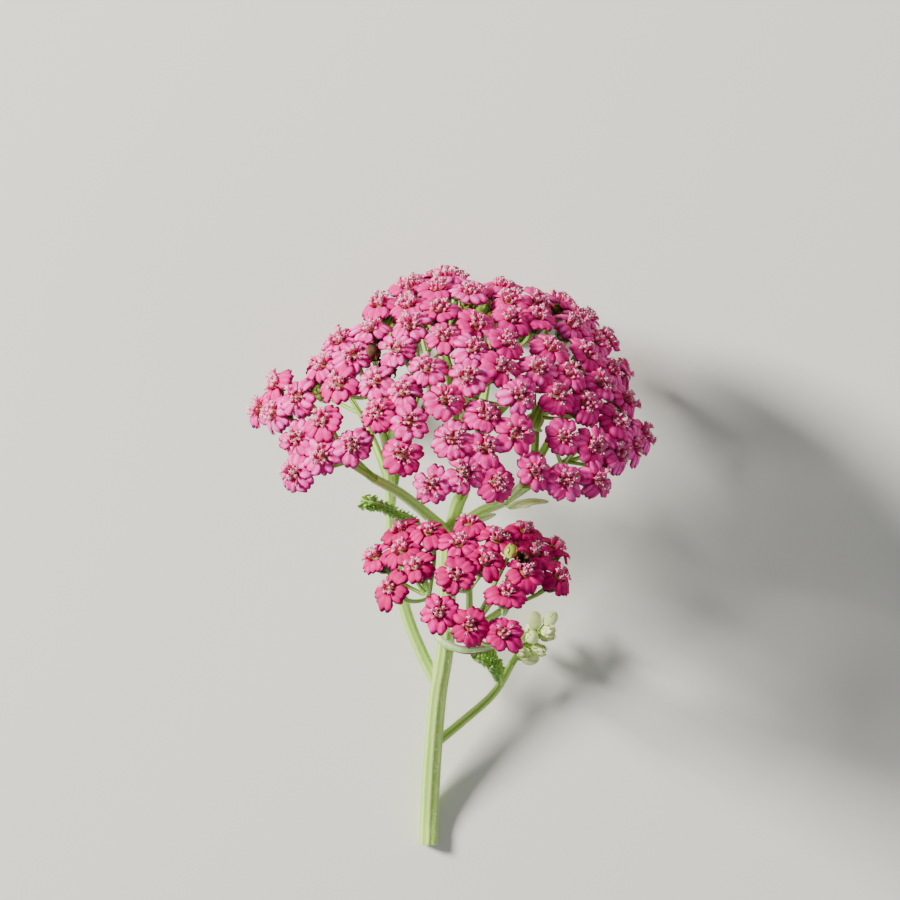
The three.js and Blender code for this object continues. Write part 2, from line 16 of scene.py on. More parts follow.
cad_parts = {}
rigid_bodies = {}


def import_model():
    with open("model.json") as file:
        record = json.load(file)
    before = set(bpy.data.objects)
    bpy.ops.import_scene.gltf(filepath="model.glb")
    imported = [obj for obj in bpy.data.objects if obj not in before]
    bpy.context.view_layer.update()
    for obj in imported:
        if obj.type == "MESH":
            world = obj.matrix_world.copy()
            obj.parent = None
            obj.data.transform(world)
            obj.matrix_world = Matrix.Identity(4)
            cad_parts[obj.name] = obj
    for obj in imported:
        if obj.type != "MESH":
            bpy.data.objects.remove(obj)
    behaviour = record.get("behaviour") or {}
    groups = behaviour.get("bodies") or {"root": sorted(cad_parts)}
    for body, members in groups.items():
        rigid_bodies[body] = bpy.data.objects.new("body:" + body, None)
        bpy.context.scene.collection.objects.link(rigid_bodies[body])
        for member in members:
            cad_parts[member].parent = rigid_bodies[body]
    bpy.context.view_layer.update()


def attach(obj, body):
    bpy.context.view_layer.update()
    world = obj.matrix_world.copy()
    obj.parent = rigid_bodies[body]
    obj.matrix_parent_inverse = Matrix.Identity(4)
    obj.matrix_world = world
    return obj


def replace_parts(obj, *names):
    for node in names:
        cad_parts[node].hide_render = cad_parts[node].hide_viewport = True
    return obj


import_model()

MM = 0.001
TURN = 2 * pi
GOLDEN_TURN = radians(137.508)
SHIFT = Vector((-0.205, 15.2323, 0))  # from the stem's own frame to the part's


# ---- the plan of the plant, as its solids have it

STEM_RISE = radians(21)
LIGHT_HEIGHT = radians(28)

LINK_SPACING = 5.95  # from a head to the older one that it grew beside
HEAD_SPACING = 6.3  # least, within a spray
SPRAY_SPACING = 7.35  # least, between sprays
SPRAY_SWELL = 28  # radius of a spray's own dome
SPIRAL_STEP = 3.4
HEAD_TILT = 0.16
HEAD_LIFT = 0.3
RAY_SWAY = 0.3
LEAST_HEIGHT = 2.4  # of a head's middle above the surface
REST_REACH = 0.9  # heads that come lower than this lie on the surface
FLAT_DEPTH = 0.15
SETTLE_ROUNDS = 120
HEAD_SEED = 1000
SEED_STEP = 77
RAY_COUNT = 5

KNOT_DEPTH = 10.5  # from the middle of a spray down to its knot
LIMB_RADII = (0.85, 0.75, 0.65)
LIMB_BEND = 0.25
PEDICEL_RADII = (0.46, 0.36, 0.38, 0.5)
PEDICEL_BEND = 0.35
PEDICEL_STRETCH = 2.7  # the last part of a limb, which the pedicels leave
CUP_FOOT = 4.05  # from a head's middle down to the foot of its cup
ROOT_SPREAD = 0.8
LAST_ROOT = 0.93

# Corners of a head's solid: distance from its middle, turn from a ray's midline in degrees, height
HEAD_CORNERS = ((0.95, 36, 1.35), (1.35, 36, 0), (1.8, 36, -0.31), (3.6, -25, -0.35), (3.6, 25, -0.35),
                (3.3, 0, -0.97))

Branch = namedtuple("Branch", "line radii")
Dome = namedtuple("Dome", "middle radius")
Spray = namedtuple("Spray", "name branch at azimuth polar heads turn stretch rise lean", defaults=(1, 0, 0))

TRUNK = Branch(
    ((-4.2, -71, 1.35), (-4.0, -66, 1.55), (-3.6, -58, 4.2), (-3.1, -50, 7.7), (-2.3, -40.6, 11.8),
     (-0.9, -30.9, 16.2), (-0.5, -21.2, 20.5), (-0.6, -11.7, 24.5), (0.2, -7.7, 26.1)),
    (1.8, 1.75, 1.65, 1.5))
CROWN_STEM = Branch(
    ((-0.2, -9.5, 25.4), (1.3, -2.9, 27.9), (2.4, 0, 29), (2.3, 6, 31.4), (1.6, 12, 33.6)),
    (1.3, 1.25, 1.1, 0.9))
SECOND_STEM = Branch(
    ((-2.4, -38.6, 12.5), (-5.5, -32.1, 13.4), (-8.5, -23.5, 15.2), (-10.7, -10.4, 19.1), (-11, -2, 22.2),
     (-11.2, 8, 25.6)),
    (1.2, 1.1, 1.05, 0.8))
LEFT_BRANCH = Branch(
    ((0, -8.6, 25.8), (-3.6, -4.8, 30.4), (-9.1, 0.8, 38.9), (-13.6, 4.2, 45.1)), (1.1, 1.0, 0.9))
RIGHT_BRANCH = Branch(
    ((0.6, -7.8, 26.1), (5.5, -3.8, 30.8), (10, -0.7, 38.4), (13.5, 2.8, 43)), (1.05, 0.95, 0.85))
LOWER_BRANCH = Branch(
    ((-0.7, -26.3, 18.5), (0.5, -26, 24.4), (2, -25.9, 29.8), (2.9, -25.4, 35.3)), (1.0, 0.95, 0.9))
SIDE_SHOOT = Branch(
    ((-3, -51, 7.3), (2, -47, 6.4), (8.2, -41.4, 6.2), (11.6, -35.5, 7.4)), (0.9, 0.8, 0.7))
BUD_STALK = Branch(
    ((11.75, -35.2, 7.45), (12.9, -33.4, 8), (14.8, -31.3, 8.6), (16.8, -29, 9.6)), (0.7, 0.6, 0.4))

CROWN = Dome((0, 0, 29), 40)
LOWER = Dome((3.4, -26.3, 42.4), 25)
CROWN_SPRAYS = (
    Spray("left_low", LEFT_BRANCH, 0.85, -43, 52, 5, 56, 0.75, lean=0.35),
    Spray("left_rim", LEFT_BRANCH, 1, -66, 52, 4, 72, 0.6, 1.5),
    Spray("left_top", SECOND_STEM, 0.88, -51.5, 30.5, 5, 231, 1.35),
    Spray("centre_left", SECOND_STEM, 0.94, -17.5, 38.5, 6, 224, 1.15),
    Spray("top_left", SECOND_STEM, 1, -49, 15, 5, 249, 1.2),
    Spray("top", CROWN_STEM, 1, 154.5, 4, 4, 260, 1.45),
    Spray("top_right", CROWN_STEM, 0.9, 70, 17, 5, 117, 1.4),
    Spray("centre", CROWN_STEM, 0.72, 21, 30, 8, 245, 1.1, 0.5),
    Spray("front_low", CROWN_STEM, 0.3, 9.5, 46.5, 7, 320, 1.35),
    Spray("right_top", CROWN_STEM, 0.6, 102, 38.5, 7, 259, 0.65),
    Spray("right_mid", RIGHT_BRANCH, 1, 44.5, 35.5, 5, 143, 0.8),
    Spray("right_rim", RIGHT_BRANCH, 0.85, 70.5, 43.5, 4, 35, 1.75),
    Spray("right_low", RIGHT_BRANCH, 0.7, 54.5, 56, 7, 19, 2.1),
    Spray("back_top", CROWN_STEM, 0.95, 187, 24, 3, 61, 1.7, -1.5),
    Spray("side_left", SECOND_STEM, 0.8, -135, 72, 3, 15, 1.2, -5),
    Spray("side_right", CROWN_STEM, 0.48, 124, 70, 3, 75, 1.2, -1),
    Spray("back_left", SECOND_STEM, 0.7, -172, 62, 4, 120),
    Spray("back_right", CROWN_STEM, 0.4, 166, 61, 4, 230),
    Spray("front_right", RIGHT_BRANCH, 0.5, 27, 53.5, 2, 268, 0.65),
)
LOWER_SPRAYS = (
    Spray("lower_left", LOWER_BRANCH, 0.8, -59, 27, 6, 246, 1.1),
    Spray("lower_middle", LOWER_BRANCH, 1, 10.5, 22.5, 5, 66, 1.15),
    Spray("lower_front", LOWER_BRANCH, 0.7, -3, 45, 3, 42),
    Spray("lower_right", LOWER_BRANCH, 0.9, 56, 26.5, 6, 24, 1.3),
)


def direction(right, front, along):
    """A direction given by its parts to the right, to the front and along the stem"""
    return Vector((right,
                   along * cos(STEM_RISE) - front * sin(STEM_RISE),
                   along * sin(STEM_RISE) + front * cos(STEM_RISE)))


RIGHT = Vector((1, 0, 0))
LIGHT = direction(0, cos(LIGHT_HEIGHT), sin(LIGHT_HEIGHT))


def outward_at(azimuth, polar):
    """The outward direction at a place of a dome"""
    wide = sin(polar)
    return direction(wide * sin(azimuth), wide * cos(azimuth), cos(polar))


def square_to(unit, towards):
    """The part of a direction that is square to a unit vector, as a unit vector"""
    return (towards - unit * towards.dot(unit)).normalized()


def random_draw(seed):
    """Repeatable random numbers between -0.5 and 0.5"""
    state = seed

    def draw():
        nonlocal state
        state = (state * 48271) % 2147483647
        return state / 2147483647 - 0.5
    return draw


def lay_out(spray, dome, index):
    """The heads of one spray on its spiral, before their neighbours push them"""
    draw = random_draw(HEAD_SEED + SEED_STEP * index)
    azimuth, polar, turn = (radians(angle) for angle in (spray.azimuth, spray.polar, spray.turn))
    outward = outward_at(azimuth, polar)
    facing = (outward * (1 - spray.lean) + LIGHT * spray.lean).normalized()
    east = square_to(facing, direction(cos(azimuth), -sin(azimuth), 0))
    south = east.cross(facing)
    centre = Vector(dome.middle)
    middle = centre + outward * (dome.radius + spray.rise)
    heads = []
    for k in range(spray.heads):
        radius = SPIRAL_STEP * sqrt(k + 0.5)
        long = radius * cos(GOLDEN_TURN * k) * spray.stretch
        wide = radius * sin(GOLDEN_TURN * k) / sqrt(spray.stretch)
        p = long * cos(turn) - wide * sin(turn)
        q = long * sin(turn) + wide * cos(turn)
        lift = HEAD_LIFT * draw() - (p * p + q * q) / (2 * SPRAY_SWELL)
        point = middle + facing * lift + east * p + south * q
        tilt = east * (p / SPRAY_SWELL + HEAD_TILT * draw())
        tilt += south * (q / SPRAY_SWELL + HEAD_TILT * draw())
        heads.append(SimpleNamespace(
            spray=index, point=point, normal=(facing + tilt).normalized(), centre=centre,
            distance=(point - centre).length, sway=RAY_SWAY * draw()))
    return heads


def space_out(a, b, wanted):
    """Moves two heads along the line between them until they are the wanted distance apart"""
    offset = b.point - a.point
    offset *= (wanted - offset.length) / (2 * offset.length)
    a.point -= offset
    b.point += offset


def older_neighbour(heads, i):
    """The nearest older head of the same spray"""
    older = [other for other in heads[:i] if other.spray == heads[i].spray]
    return min(older, key=lambda other: (other.point - heads[i].point).length, default=None)


def settle(heads):
    """Spreads crowded heads over the domes, each staying at its own distance from the dome's middle"""
    for i, head in enumerate(heads):
        head.link = older_neighbour(heads, i)
    for _ in range(SETTLE_ROUNDS):
        for i, head in enumerate(heads):
            for other in heads[:i]:
                least = HEAD_SPACING if head.spray == other.spray else SPRAY_SPACING
                if head.link is other:
                    space_out(head, other, LINK_SPACING)
                elif (head.point - other.point).length < least:
                    space_out(head, other, least)
        for head in heads:
            head.point = head.centre + (head.point - head.centre).normalized() * head.distance
            head.point.z = max(head.point.z, LEAST_HEIGHT)


def aim_of(normal, towards, sway=0):
    """The rotation that stands a thing along normal, with its first ray towards a place"""
    u = square_to(normal, towards)
    v = normal.cross(u)
    return Matrix((u, v, normal)).transposed().to_quaternion() @ Quaternion((0, 0, 1), sway)


def stand_up(heads):
    """Gives each head its rotation and lays the lowest ones on the surface"""
    corners = [Vector((r * cos(turn), r * sin(turn), height))
               for r, degrees, height in HEAD_CORNERS
               for turn in (radians(degrees) + TURN * ray / RAY_COUNT for ray in range(RAY_COUNT))]
    places = [head.point.copy() for head in heads]
    for head in heads:
        head.aim = aim_of(head.normal, head.link.point - head.point if head.link else RIGHT, head.sway)
    for head, place in zip(heads, places):
        lowest = place.z + min((head.aim @ corner).z for corner in corners)
        if lowest < REST_REACH:
            head.point.z -= lowest + FLAT_DEPTH


class Path:
    """A curve kept as close points, with places on it given by the share of its length"""

    def __init__(self, points):
        self.points = points
        self.marks = [0]
        for a, b in zip(points, points[1:]):
            self.marks.append(self.marks[-1] + (b - a).length)
        self.length = self.marks[-1]

    def at(self, share):
        wanted = share * self.length
        last = len(self.marks) - 1
        i = max(1, next((k for k, mark in enumerate(self.marks) if mark >= wanted - 1e-9), last))
        part = (wanted - self.marks[i - 1]) / (self.marks[i] - self.marks[i - 1])
        return self.points[i - 1].lerp(self.points[i], part)

    def along(self, share):
        return (self.at(min(share + 0.01, 1)) - self.at(max(share - 0.01, 0))).normalized()


PATH_STEPS = 200


def smooth_path(line):
    """A smooth curve through the given points, with no loops where they lie unevenly"""
    knots = [Vector(point) for point in line]
    knots = [2 * knots[0] - knots[1], *knots, 2 * knots[-1] - knots[-2]]
    spans = len(line) - 1
    points = []
    for step in range(PATH_STEPS + 1):
        i = min(int(spans * step / PATH_STEPS), spans - 1)
        t = spans * step / PATH_STEPS - i
        a, b, c, d = knots[i:i + 4]
        before, across, after = (sqrt((q - p).length) for p, q in ((a, b), (b, c), (c, d)))
        leave = ((b - a) / before - (c - a) / (before + across) + (c - b) / across) * across
        arrive = ((c - b) / across - (d - b) / (across + after) + (d - c) / after) * across
        points.append(b + leave * t + (3 * (c - b) - 2 * leave - arrive) * t * t
                      + (2 * (b - c) + leave + arrive) * t ** 3)
    return Path(points)


def bent_path(start, bend, end, steps=24):
    """A curve that leaves start towards bend and arrives at end from there"""
    shares = [step / steps for step in range(steps + 1)]
    return Path([start * (1 - t) ** 2 + bend * 2 * t * (1 - t) + end * t * t for t in shares])


def limb_to(spray_branch, at, knot):
    """The limb from a branch to a knot"""
    branch = smooth_path(spray_branch.line)
    root = branch.at(at)
    bend = root + branch.along(at) * (knot - root).length * LIMB_BEND
    return bent_path(root, bend, knot)


def along_list(values, t):
    """The value at share t of the way along a short list"""
    place = t * (len(values) - 1)
    i = min(int(place), len(values) - 2)
    return values[i] + (values[i + 1] - values[i]) * (place - i)


# ---- meshes

def to_scene(point):
    return (point + SHIFT) * MM


def new_mesh(name, points, faces, marks=None, edges=()):
    """A mesh with smooth faces; marks are a pair of numbers for each point, kept as its UV map"""
    mesh = bpy.data.meshes.new(name)
    mesh.from_pydata([tuple(point) for point in points], edges, faces)
    if marks:
        layer = mesh.uv_layers.new(name="marks")
        for loop in mesh.loops:
            layer.data[loop.index].uv = marks[loop.vertex_index]
    mesh.polygons.foreach_set("use_smooth", [True] * len(mesh.polygons))
    return mesh


def store(mesh, name, values, kind="FLOAT", domain="POINT"):
    mesh.attributes.new(name, kind, domain).data.foreach_set("value", values)


def blade(name, place, across, along, thickness):
    """A thin closed blade: place gives its middle surface for shares across and along it"""
    grid = [[Vector(place(i / across, j / along)) for i in range(across + 1)] for j in range(along + 1)]
    points, marks, over, under = [], [], {}, {}
    for j in range(along + 1):
        for i in range(across + 1):
            side = grid[j][min(i + 1, across)] - grid[j][max(i - 1, 0)]
            ahead = grid[min(j + 1, along)][i] - grid[max(j - 1, 0)][i]
            half = ahead.cross(side).normalized() * thickness / 2
            rim = i in (0, across) or j in (0, along)
            for layer, offset in ((over, half), (under, -half)):
                if rim and layer is under:
                    under[i, j] = over[i, j]
                    continue
                layer[i, j] = len(points)
                points.append(grid[j][i] if rim else grid[j][i] + offset)
                marks.append((i / across, j / along))
    faces = []
    for j in range(along):
        for i in range(across):
            corners = ((i, j), (i, j + 1), (i + 1, j + 1), (i + 1, j))
            faces.append([over[corner] for corner in corners])
            faces.append([under[corner] for corner in reversed(corners)])
    return new_mesh(name, points, faces, marks)


def turned(name, rings, sides):
    """A closed body round the Z axis, from rings of radius, height and mark

    A fourth number says how far every other corner of its ring draws in.
    """
    points, marks, rows = [], [], []
    for radius, height, mark, *star in rings:
        count = sides if radius > 0 else 1
        rows.append(range(len(points), len(points) + count))
        for k in range(count):
            reach = radius * (1 - (star[0] if star and k % 2 else 0))
            points.append((reach * cos(TURN * k / sides), reach * sin(TURN * k / sides), height))
            marks.append((k / sides, mark))
    faces = []
    for low, high in zip(rows, rows[1:]):
        for k in range(sides):
            corners = (low[k % len(low)], low[(k + 1) % len(low)],
                       high[(k + 1) % len(high)], high[k % len(high)])
            faces.append(list(dict.fromkeys(corners)))
    return new_mesh(name, points, faces, marks)


def in_metres(mesh):
    mesh.transform(Matrix.Scale(MM, 4))
    return mesh


def parts_box(*meshes):
    """A collection of shapes for a tree to pick from, kept out of the scene"""
    box = bpy.data.collections.new(meshes[0].name)
    for mesh in meshes:
        box.objects.link(bpy.data.objects.new(mesh.name, in_metres(mesh)))
    return box


Seat = namedtuple("Seat", "point aim size tone", defaults=(0.5,))


def seat_mesh(name, seats):
    """Points that parts stand on, each with a rotation, a size and a tone of its own"""
    mesh = new_mesh(name, [to_scene(seat.point) for seat in seats], [])
    store(mesh, "aim", [part for seat in seats for part in seat.aim], "QUATERNION")
    store(mesh, "size", [seat.size for seat in seats])
    store(mesh, "tone", [seat.tone for seat in seats])
    return mesh


Run = namedtuple("Run", "path radii steps end", defaults=(1,))


def path_mesh(name, runs):
    """Lines for stalks to follow, each point with the stalk's girth there"""
    points, edges, girths = [], [], []
    for run in runs:
        first = len(points)
        for step in range(run.steps + 1):
            share = step / run.steps
            points.append(to_scene(run.path.at(run.end * share)))
            girths.append(along_list(run.radii, share) * MM)
        edges += [(k, k + 1) for k in range(first, len(points) - 1)]
    mesh = new_mesh(name, points, [], edges=edges)
    store(mesh, "girth", girths)
    store(mesh, "tone", [0.5] * len(points))
    return mesh


# ---- node trees

class Tree:
    """Short ways to add nodes; a value that is a socket is linked, and any other is set"""

    def __init__(self, nodes):
        self.nodes = nodes

    def put(self, value, socket):
        if isinstance(value, bpy.types.NodeSocket):
            self.nodes.links.new(value, socket)
        else:
            socket.default_value = value

    def give(self, out, **values):
        """Links what the tree gives, and returns it"""
        for name, value in values.items():
            self.put(value, out[name])
        return self.nodes

    def add(self, kind, values, **settings):
        """All outputs of a new node"""
        node = self.nodes.nodes.new(kind)
        for name, value in settings.items():
            setattr(node, name, value)
        for key, value in values.items():
            self.put(value, node.inputs[key])
        return node.outputs

    def one(self, kind, values, **settings):
        """The first output of a new node"""
        return self.add(kind, values, **settings)[0]

    def geometry(self, kind, values, **settings):
        return self.one("GeometryNode" + kind, values, **settings)

    def work_out(self, operation, *values):
        return self.one("ShaderNodeMath", dict(enumerate(values)), operation=operation)

    plus = partialmethod(work_out, "ADD")
    minus = partialmethod(work_out, "SUBTRACT")
    times = partialmethod(work_out, "MULTIPLY")
    times_plus = partialmethod(work_out, "MULTIPLY_ADD")
    larger = partialmethod(work_out, "MAXIMUM")

    def from_middle(self, share):
        """How far a share from 0 to 1 is from its middle, as 0 to 1"""
        return self.work_out("ABSOLUTE", self.times_plus(share, 2.0, -1.0))

    def vector(self, **parts):
        return self.one("ShaderNodeCombineXYZ", parts)

    def scaled(self, vector, scale):
        return self.one("ShaderNodeVectorMath", {0: vector, "Scale": scale}, operation="SCALE")

    def blend(self, factor, a, b):
        """A mix of two colours"""
        values = {0: factor, 6: a, 7: b}
        return self.add("ShaderNodeMix", values, data_type="RGBA", clamp_factor=True)[2]

    def ease(self, value, low, high, start=0.0, end=1.0):
        """Eases a value from start to end while it goes from low to high"""
        values = {0: value, 1: low, 2: high, 3: start, 4: end}
        return self.one("ShaderNodeMapRange", values, interpolation_type="SMOOTHSTEP")

    def noise(self, place, dimensions="2D", **values):
        return self.one("ShaderNodeTexNoise", {"Vector": place, **values}, noise_dimensions=dimensions)

    def group(self, tree, **values):
        return self.add("ShaderNodeGroup", values, node_tree=tree)

    def number(self, name):
        """An attribute, for a material"""
        return self.add("ShaderNodeAttribute", {}, attribute_name=name)["Fac"]

    def mark(self, name, kind="FLOAT"):
        """An attribute, for a modifier's tree"""
        return self.add("GeometryNodeInputNamedAttribute", {"Name": name}, data_type=kind)["Attribute"]

    def store(self, geometry, name, value):
        values = {"Geometry": geometry, "Name": name, "Value": value}
        return self.geometry("StoreNamedAttribute", values, data_type="FLOAT", domain="POINT")

    def random(self, low, high, seed, lot, kind="FLOAT"):
        first, result = {"FLOAT": (2, 1), "INT": (4, 2)}[kind]
        values = {first: low, first + 1: high, 8: self.plus(seed, lot)}
        return self.add("FunctionNodeRandomValue", values, data_type=kind)[result]

    def spin(self, aim, axis, angle):
        """A rotation turned further round one of its own axes"""
        step = self.one("FunctionNodeAxisAngleToRotation", {"Axis": axis, "Angle": angle})
        return self.one("FunctionNodeRotateRotation", {0: aim, 1: step}, rotation_space="LOCAL")

    def stand(self, parts, values):
        """Parts of a collection, set on points"""
        shapes = self.geometry("CollectionInfo", {
            "Collection": parts, "Separate Children": True, "Reset Children": True})
        return self.geometry("InstanceOnPoints", {"Instance": shapes, **values})

    def finish(self, geometry, material, out):
        """The end of a modifier's tree: instances made real, smooth, and with their material"""
        real = self.geometry("RealizeInstances", {"Geometry": geometry})
        smooth = self.geometry("SetShadeSmooth", {"Geometry": real})
        done = self.geometry("SetMaterial", {"Geometry": smooth, "Material": material})
        return self.give(out, Geometry=done)


def new_tree(name, kind, inputs, outputs):
    """An empty tree with its inputs and outputs, each given by its first value or by its type's name"""
    nodes = bpy.data.node_groups.new(name, kind)
    for in_out, sockets in (("INPUT", inputs), ("OUTPUT", outputs)):
        for label, value in sockets.items():
            named = {float: "Float", int: "Int"}.get(type(value), value)
            socket = nodes.interface.new_socket(label, in_out=in_out, socket_type="NodeSocket" + named)
            if value is not named:
                socket.default_value = value
    return Tree(nodes), nodes.nodes.new("NodeGroupInput").outputs, nodes.nodes.new("NodeGroupOutput").inputs


def geometry_tree(name, **inputs):
    inputs = {"Geometry": "Geometry", **inputs, "Material": "Material"}
    return new_tree(name, "GeometryNodeTree", inputs, {"Geometry": "Geometry"})


def whorl_tree():
    """Parts that turn round each seat by an even step, on a ring, a disc or a rising spiral"""
    t, given, out = geometry_tree(
        "whorl round a seat", Parts="Collection", Kinds=1, Count=5, Step=GOLDEN_TURN, Ring=0.0, Spread=0.0,
        Height=0.0, Climb=0.0, Pitch=0.0, Lean=0.0, Sway=0.0, Uneven=0.0, Seed=0)
    seats = t.geometry("MeshToPoints", {"Mesh": given["Geometry"]})
    copies = t.add("GeometryNodeDuplicateElements", {"Geometry": seats, "Amount": given["Count"]},
                   domain="POINT")
    index = copies["Duplicate Index"]
    seed, sway, uneven = given["Seed"], given["Sway"], given["Uneven"]
    back = t.times(sway, -1.0)

    turn = t.times_plus(index, given["Step"], t.random(back, sway, seed, 1))
    root = t.work_out("SQRT", t.plus(index, 0.5))
    reach = t.times_plus(root, given["Spread"], given["Ring"])
    height = t.times_plus(index, given["Climb"], given["Height"])
    lean = t.times_plus(root, given["Lean"], given["Pitch"])
    pitch = t.plus(lean, t.random(back, sway, seed, 2))
    turned_aim = t.spin(t.mark("aim", "QUATERNION"), (0, 0, 1), turn)

    size = t.mark("size")
    offset = t.scaled(t.vector(X=reach, Z=height), size)
    placed = t.one("FunctionNodeRotateVector", {0: offset, 1: turned_aim})
    moved = t.geometry("SetPosition", {"Geometry": copies["Geometry"], "Offset": placed})
    scale = t.times(size, t.random(t.minus(1.0, uneven), t.plus(1.0, uneven), seed, 4))
    stood = t.stand(given["Parts"], {
        "Points": t.store(moved, "tint", t.random(0.0, 1.0, seed, 3)), "Pick Instance": True,
        "Instance Index": t.random(0, t.minus(given["Kinds"], 1), seed, 5, "INT"),
        "Rotation": t.spin(turned_aim, (0, 1, 0), pitch), "Scale": scale})
    return t.finish(stood, given["Material"], out)


def stalk_tree():
    """Stalks that follow lines, with a furrowed section as thick as each point's girth"""
    t, given, out = geometry_tree("stalk along a line", Sides=8, Ribs=0.0, Furrow=0.0)
    line = t.geometry("MeshToCurve", {"Mesh": given["Geometry"]})
    line = t.store(line, "run", t.add("GeometryNodeSplineParameter", {})["Length"])

    ring = t.geometry("CurvePrimitiveCircle", {"Resolution": given["Sides"], "Radius": 1.0})
    share = t.add("GeometryNodeSplineParameter", {})["Factor"]
    wave = t.work_out("COSINE", t.times(t.times(share, TURN), given["Ribs"]))
    crest = t.times_plus(wave, 0.5, 0.5)
    inward = t.scaled(t.geometry("InputPosition", {}), t.times(t.minus(crest, 1.0), given["Furrow"]))
    ribbed = t.geometry("SetPosition", {"Geometry": ring, "Offset": inward})
    section = t.store(t.store(ribbed, "crest", crest), "around", share)
    skin = t.geometry("CurveToMesh", {
        "Curve": line, "Profile Curve": section, "Scale": t.mark("girth"), "Fill Caps": True})
    return t.finish(skin, given["Material"], out)


def hair_tree():
    """Fine hairs all over a surface, each leaning its own way"""
    t, given, out = geometry_tree("hairs over a surface", Parts="Collection", Density=1.0, Lie=0.6, Seed=0)
    seed = given["Seed"]
    roots = t.add("GeometryNodeDistributePointsOnFaces", {
        "Mesh": given["Geometry"], "Density": given["Density"], "Seed": seed})
    spun = t.spin(roots["Rotation"], (0, 0, 1), t.random(0.0, TURN, seed, 1))
    leaned = t.spin(spun, (0, 1, 0), t.random(0.1, given["Lie"], seed, 2))
    stood = t.stand(given["Parts"], {
        "Points": roots["Points"], "Rotation": leaned, "Scale": t.random(0.5, 1.2, seed, 3)})
    return t.finish(stood, given["Material"], out)


def add_to_scene(name, data):
    thing = bpy.data.objects.new(name, data)
    bpy.context.scene.collection.objects.link(thing)
    return thing


def keep_piece(piece):
    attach(piece, "root")
    return piece


def grow(name, source, tree, slot, **values):
    """Runs a tree on a mesh once and keeps the result as a plain piece"""
    piece = add_to_scene(name, source)
    modifier = piece.modifiers.new("grow", "NODES")
    modifier.node_group = tree
    for item in tree.interface.items_tree:
        if item.in_out == "INPUT" and item.name in values:
            modifier[item.identifier] = values[item.name]
    graph = bpy.context.evaluated_depsgraph_get()
    mesh = bpy.data.meshes.new_from_object(piece.evaluated_get(graph))
    piece.modifiers.remove(modifier)
    if mesh.materials[0] is None:
        mesh.materials.pop(index=0)
    piece.data = mesh
    return keep_piece(piece)


WHORL = whorl_tree()
STALK = stalk_tree()
FUR = hair_tree()
LENGTHS = ("Ring", "Spread", "Height", "Climb")


def grow_whorls(name, seats, box, material, slot, **values):
    """Parts of a box on each seat, as one piece"""
    values = {key: value * MM if key in LENGTHS else value for key, value in values.items()}
    return grow(name, seat_mesh(name, seats), WHORL, slot,
                Parts=box, Kinds=len(box.objects), Material=material, **values)


def grow_stalks(name, runs, material, sides=12, ribs=4.0, furrow=0.12):
    return grow(name, path_mesh(name, runs), STALK, "stem",
                Sides=sides, Ribs=ribs, Furrow=furrow, Material=material)


def add_piece(name, mesh, material):
    """A piece made straight from a mesh in millimetres of the stem's frame"""
    mesh.transform(Matrix.Translation(SHIFT))
    mesh.materials.append(material)
    return keep_piece(add_to_scene(name, in_metres(mesh)))


def press_on_surface(*pieces):
    """Flattens what would reach below the surface that the stem lies on"""
    for piece in pieces:
        for vertex in piece.data.vertices:
            vertex.co.z = max(vertex.co.z, 0)


# ---- finishes

RELIEF_DEPTH = 0.0001
VEIN_COUNT = 14.0
FIBRE_COUNT = 40.0
FIBRE_PACE = 300.0  # fibre marks to a metre of stalk


def colors(codes):
    """Linear colours from six-digit codes, two hexadecimal digits each for red, green and blue"""
    def linear(digits):
        value = int(digits, 16) / 255
        return value / 12.92 if value <= 0.04045 else ((value + 0.055) / 1.055) ** 2.4
    return [(*(linear(code[k:k + 2]) for k in (0, 2, 4)), 1) for code in codes.split()]


def shader_group(name, outputs, **inputs):
    return new_tree(name, "ShaderNodeTree", inputs, dict.fromkeys(outputs, "Float"))


def petal_face_group():
    """Veins, painted highlights on the puffed cushions, a darker rim, and painted shade in the grooves of a
    petal
    """
    t, given, out = shader_group("petal face", ("Pale", "Rim", "Groove", "Height"),
                                 Across=0.5, Along=0.5, Puff=1.0, Tint=0.5)
    across, along, puff, tint = (given[name] for name in ("Across", "Along", "Puff", "Tint"))
    long = t.times_plus(along, 2.2, t.times(tint, 37.0))
    veins = t.noise(t.vector(X=t.times(across, VEIN_COUNT), Y=long), Scale=1.0, Detail=3.0, Roughness=0.6)
    patches = t.noise(t.vector(X=across, Y=t.times_plus(tint, 91.0, along)), Scale=2.3, Detail=1.0)
    rim = t.ease(t.larger(t.work_out("POWER", t.from_middle(across), 3.0), along), 0.84, 1.0)
    raised = t.times(t.ease(puff, 0.35, 0.95), t.minus(1.0, rim))
    # Painted highlight: paler patches on the puffed lobes, away from the rim
    pale = t.times(t.ease(patches, 0.3, 0.72), raised)
    # The Pale output is the veins together with the painted highlight
    veined = t.times_plus(t.ease(veins, 0.35, 0.75), 0.3, t.times(pale, 0.7))
    # Painted shade in the grooves between the lobes, away from the root
    painted_groove_shade = t.times(t.ease(puff, 0.5, 0.0), t.ease(along, 0.05, 0.35))
    return t.give(out, Pale=veined, Rim=rim, Groove=painted_groove_shade, Height=veins)


def mottle_group():
    """Uneven patches all over a thing"""
    t, given, out = shader_group("mottle", ("Mask", "Height"), Scale=300.0, Low=0.35, High=0.7)
    place = t.add("ShaderNodeTexCoord", {})["Object"]
    noise = t.noise(place, "3D", Scale=given["Scale"], Detail=3.0, Roughness=0.6)
    return t.give(out, Mask=t.ease(noise, given["Low"], given["High"]), Height=noise)


def fibre_group():
    """Fine lines that run along a stalk"""
    t, given, out = shader_group("stalk fibres", ("Mask", "Height"), Run=0.0, Around=0.0)
    place = t.vector(X=t.times(given["Around"], FIBRE_COUNT), Y=t.times(given["Run"], FIBRE_PACE))
    noise = t.noise(place, Scale=1.0, Detail=2.0)
    return t.give(out, Mask=t.ease(noise, 0.3, 0.7), Height=noise)


PETAL_FACE = petal_face_group()
MOTTLE = mottle_group()
FIBRES = fibre_group()


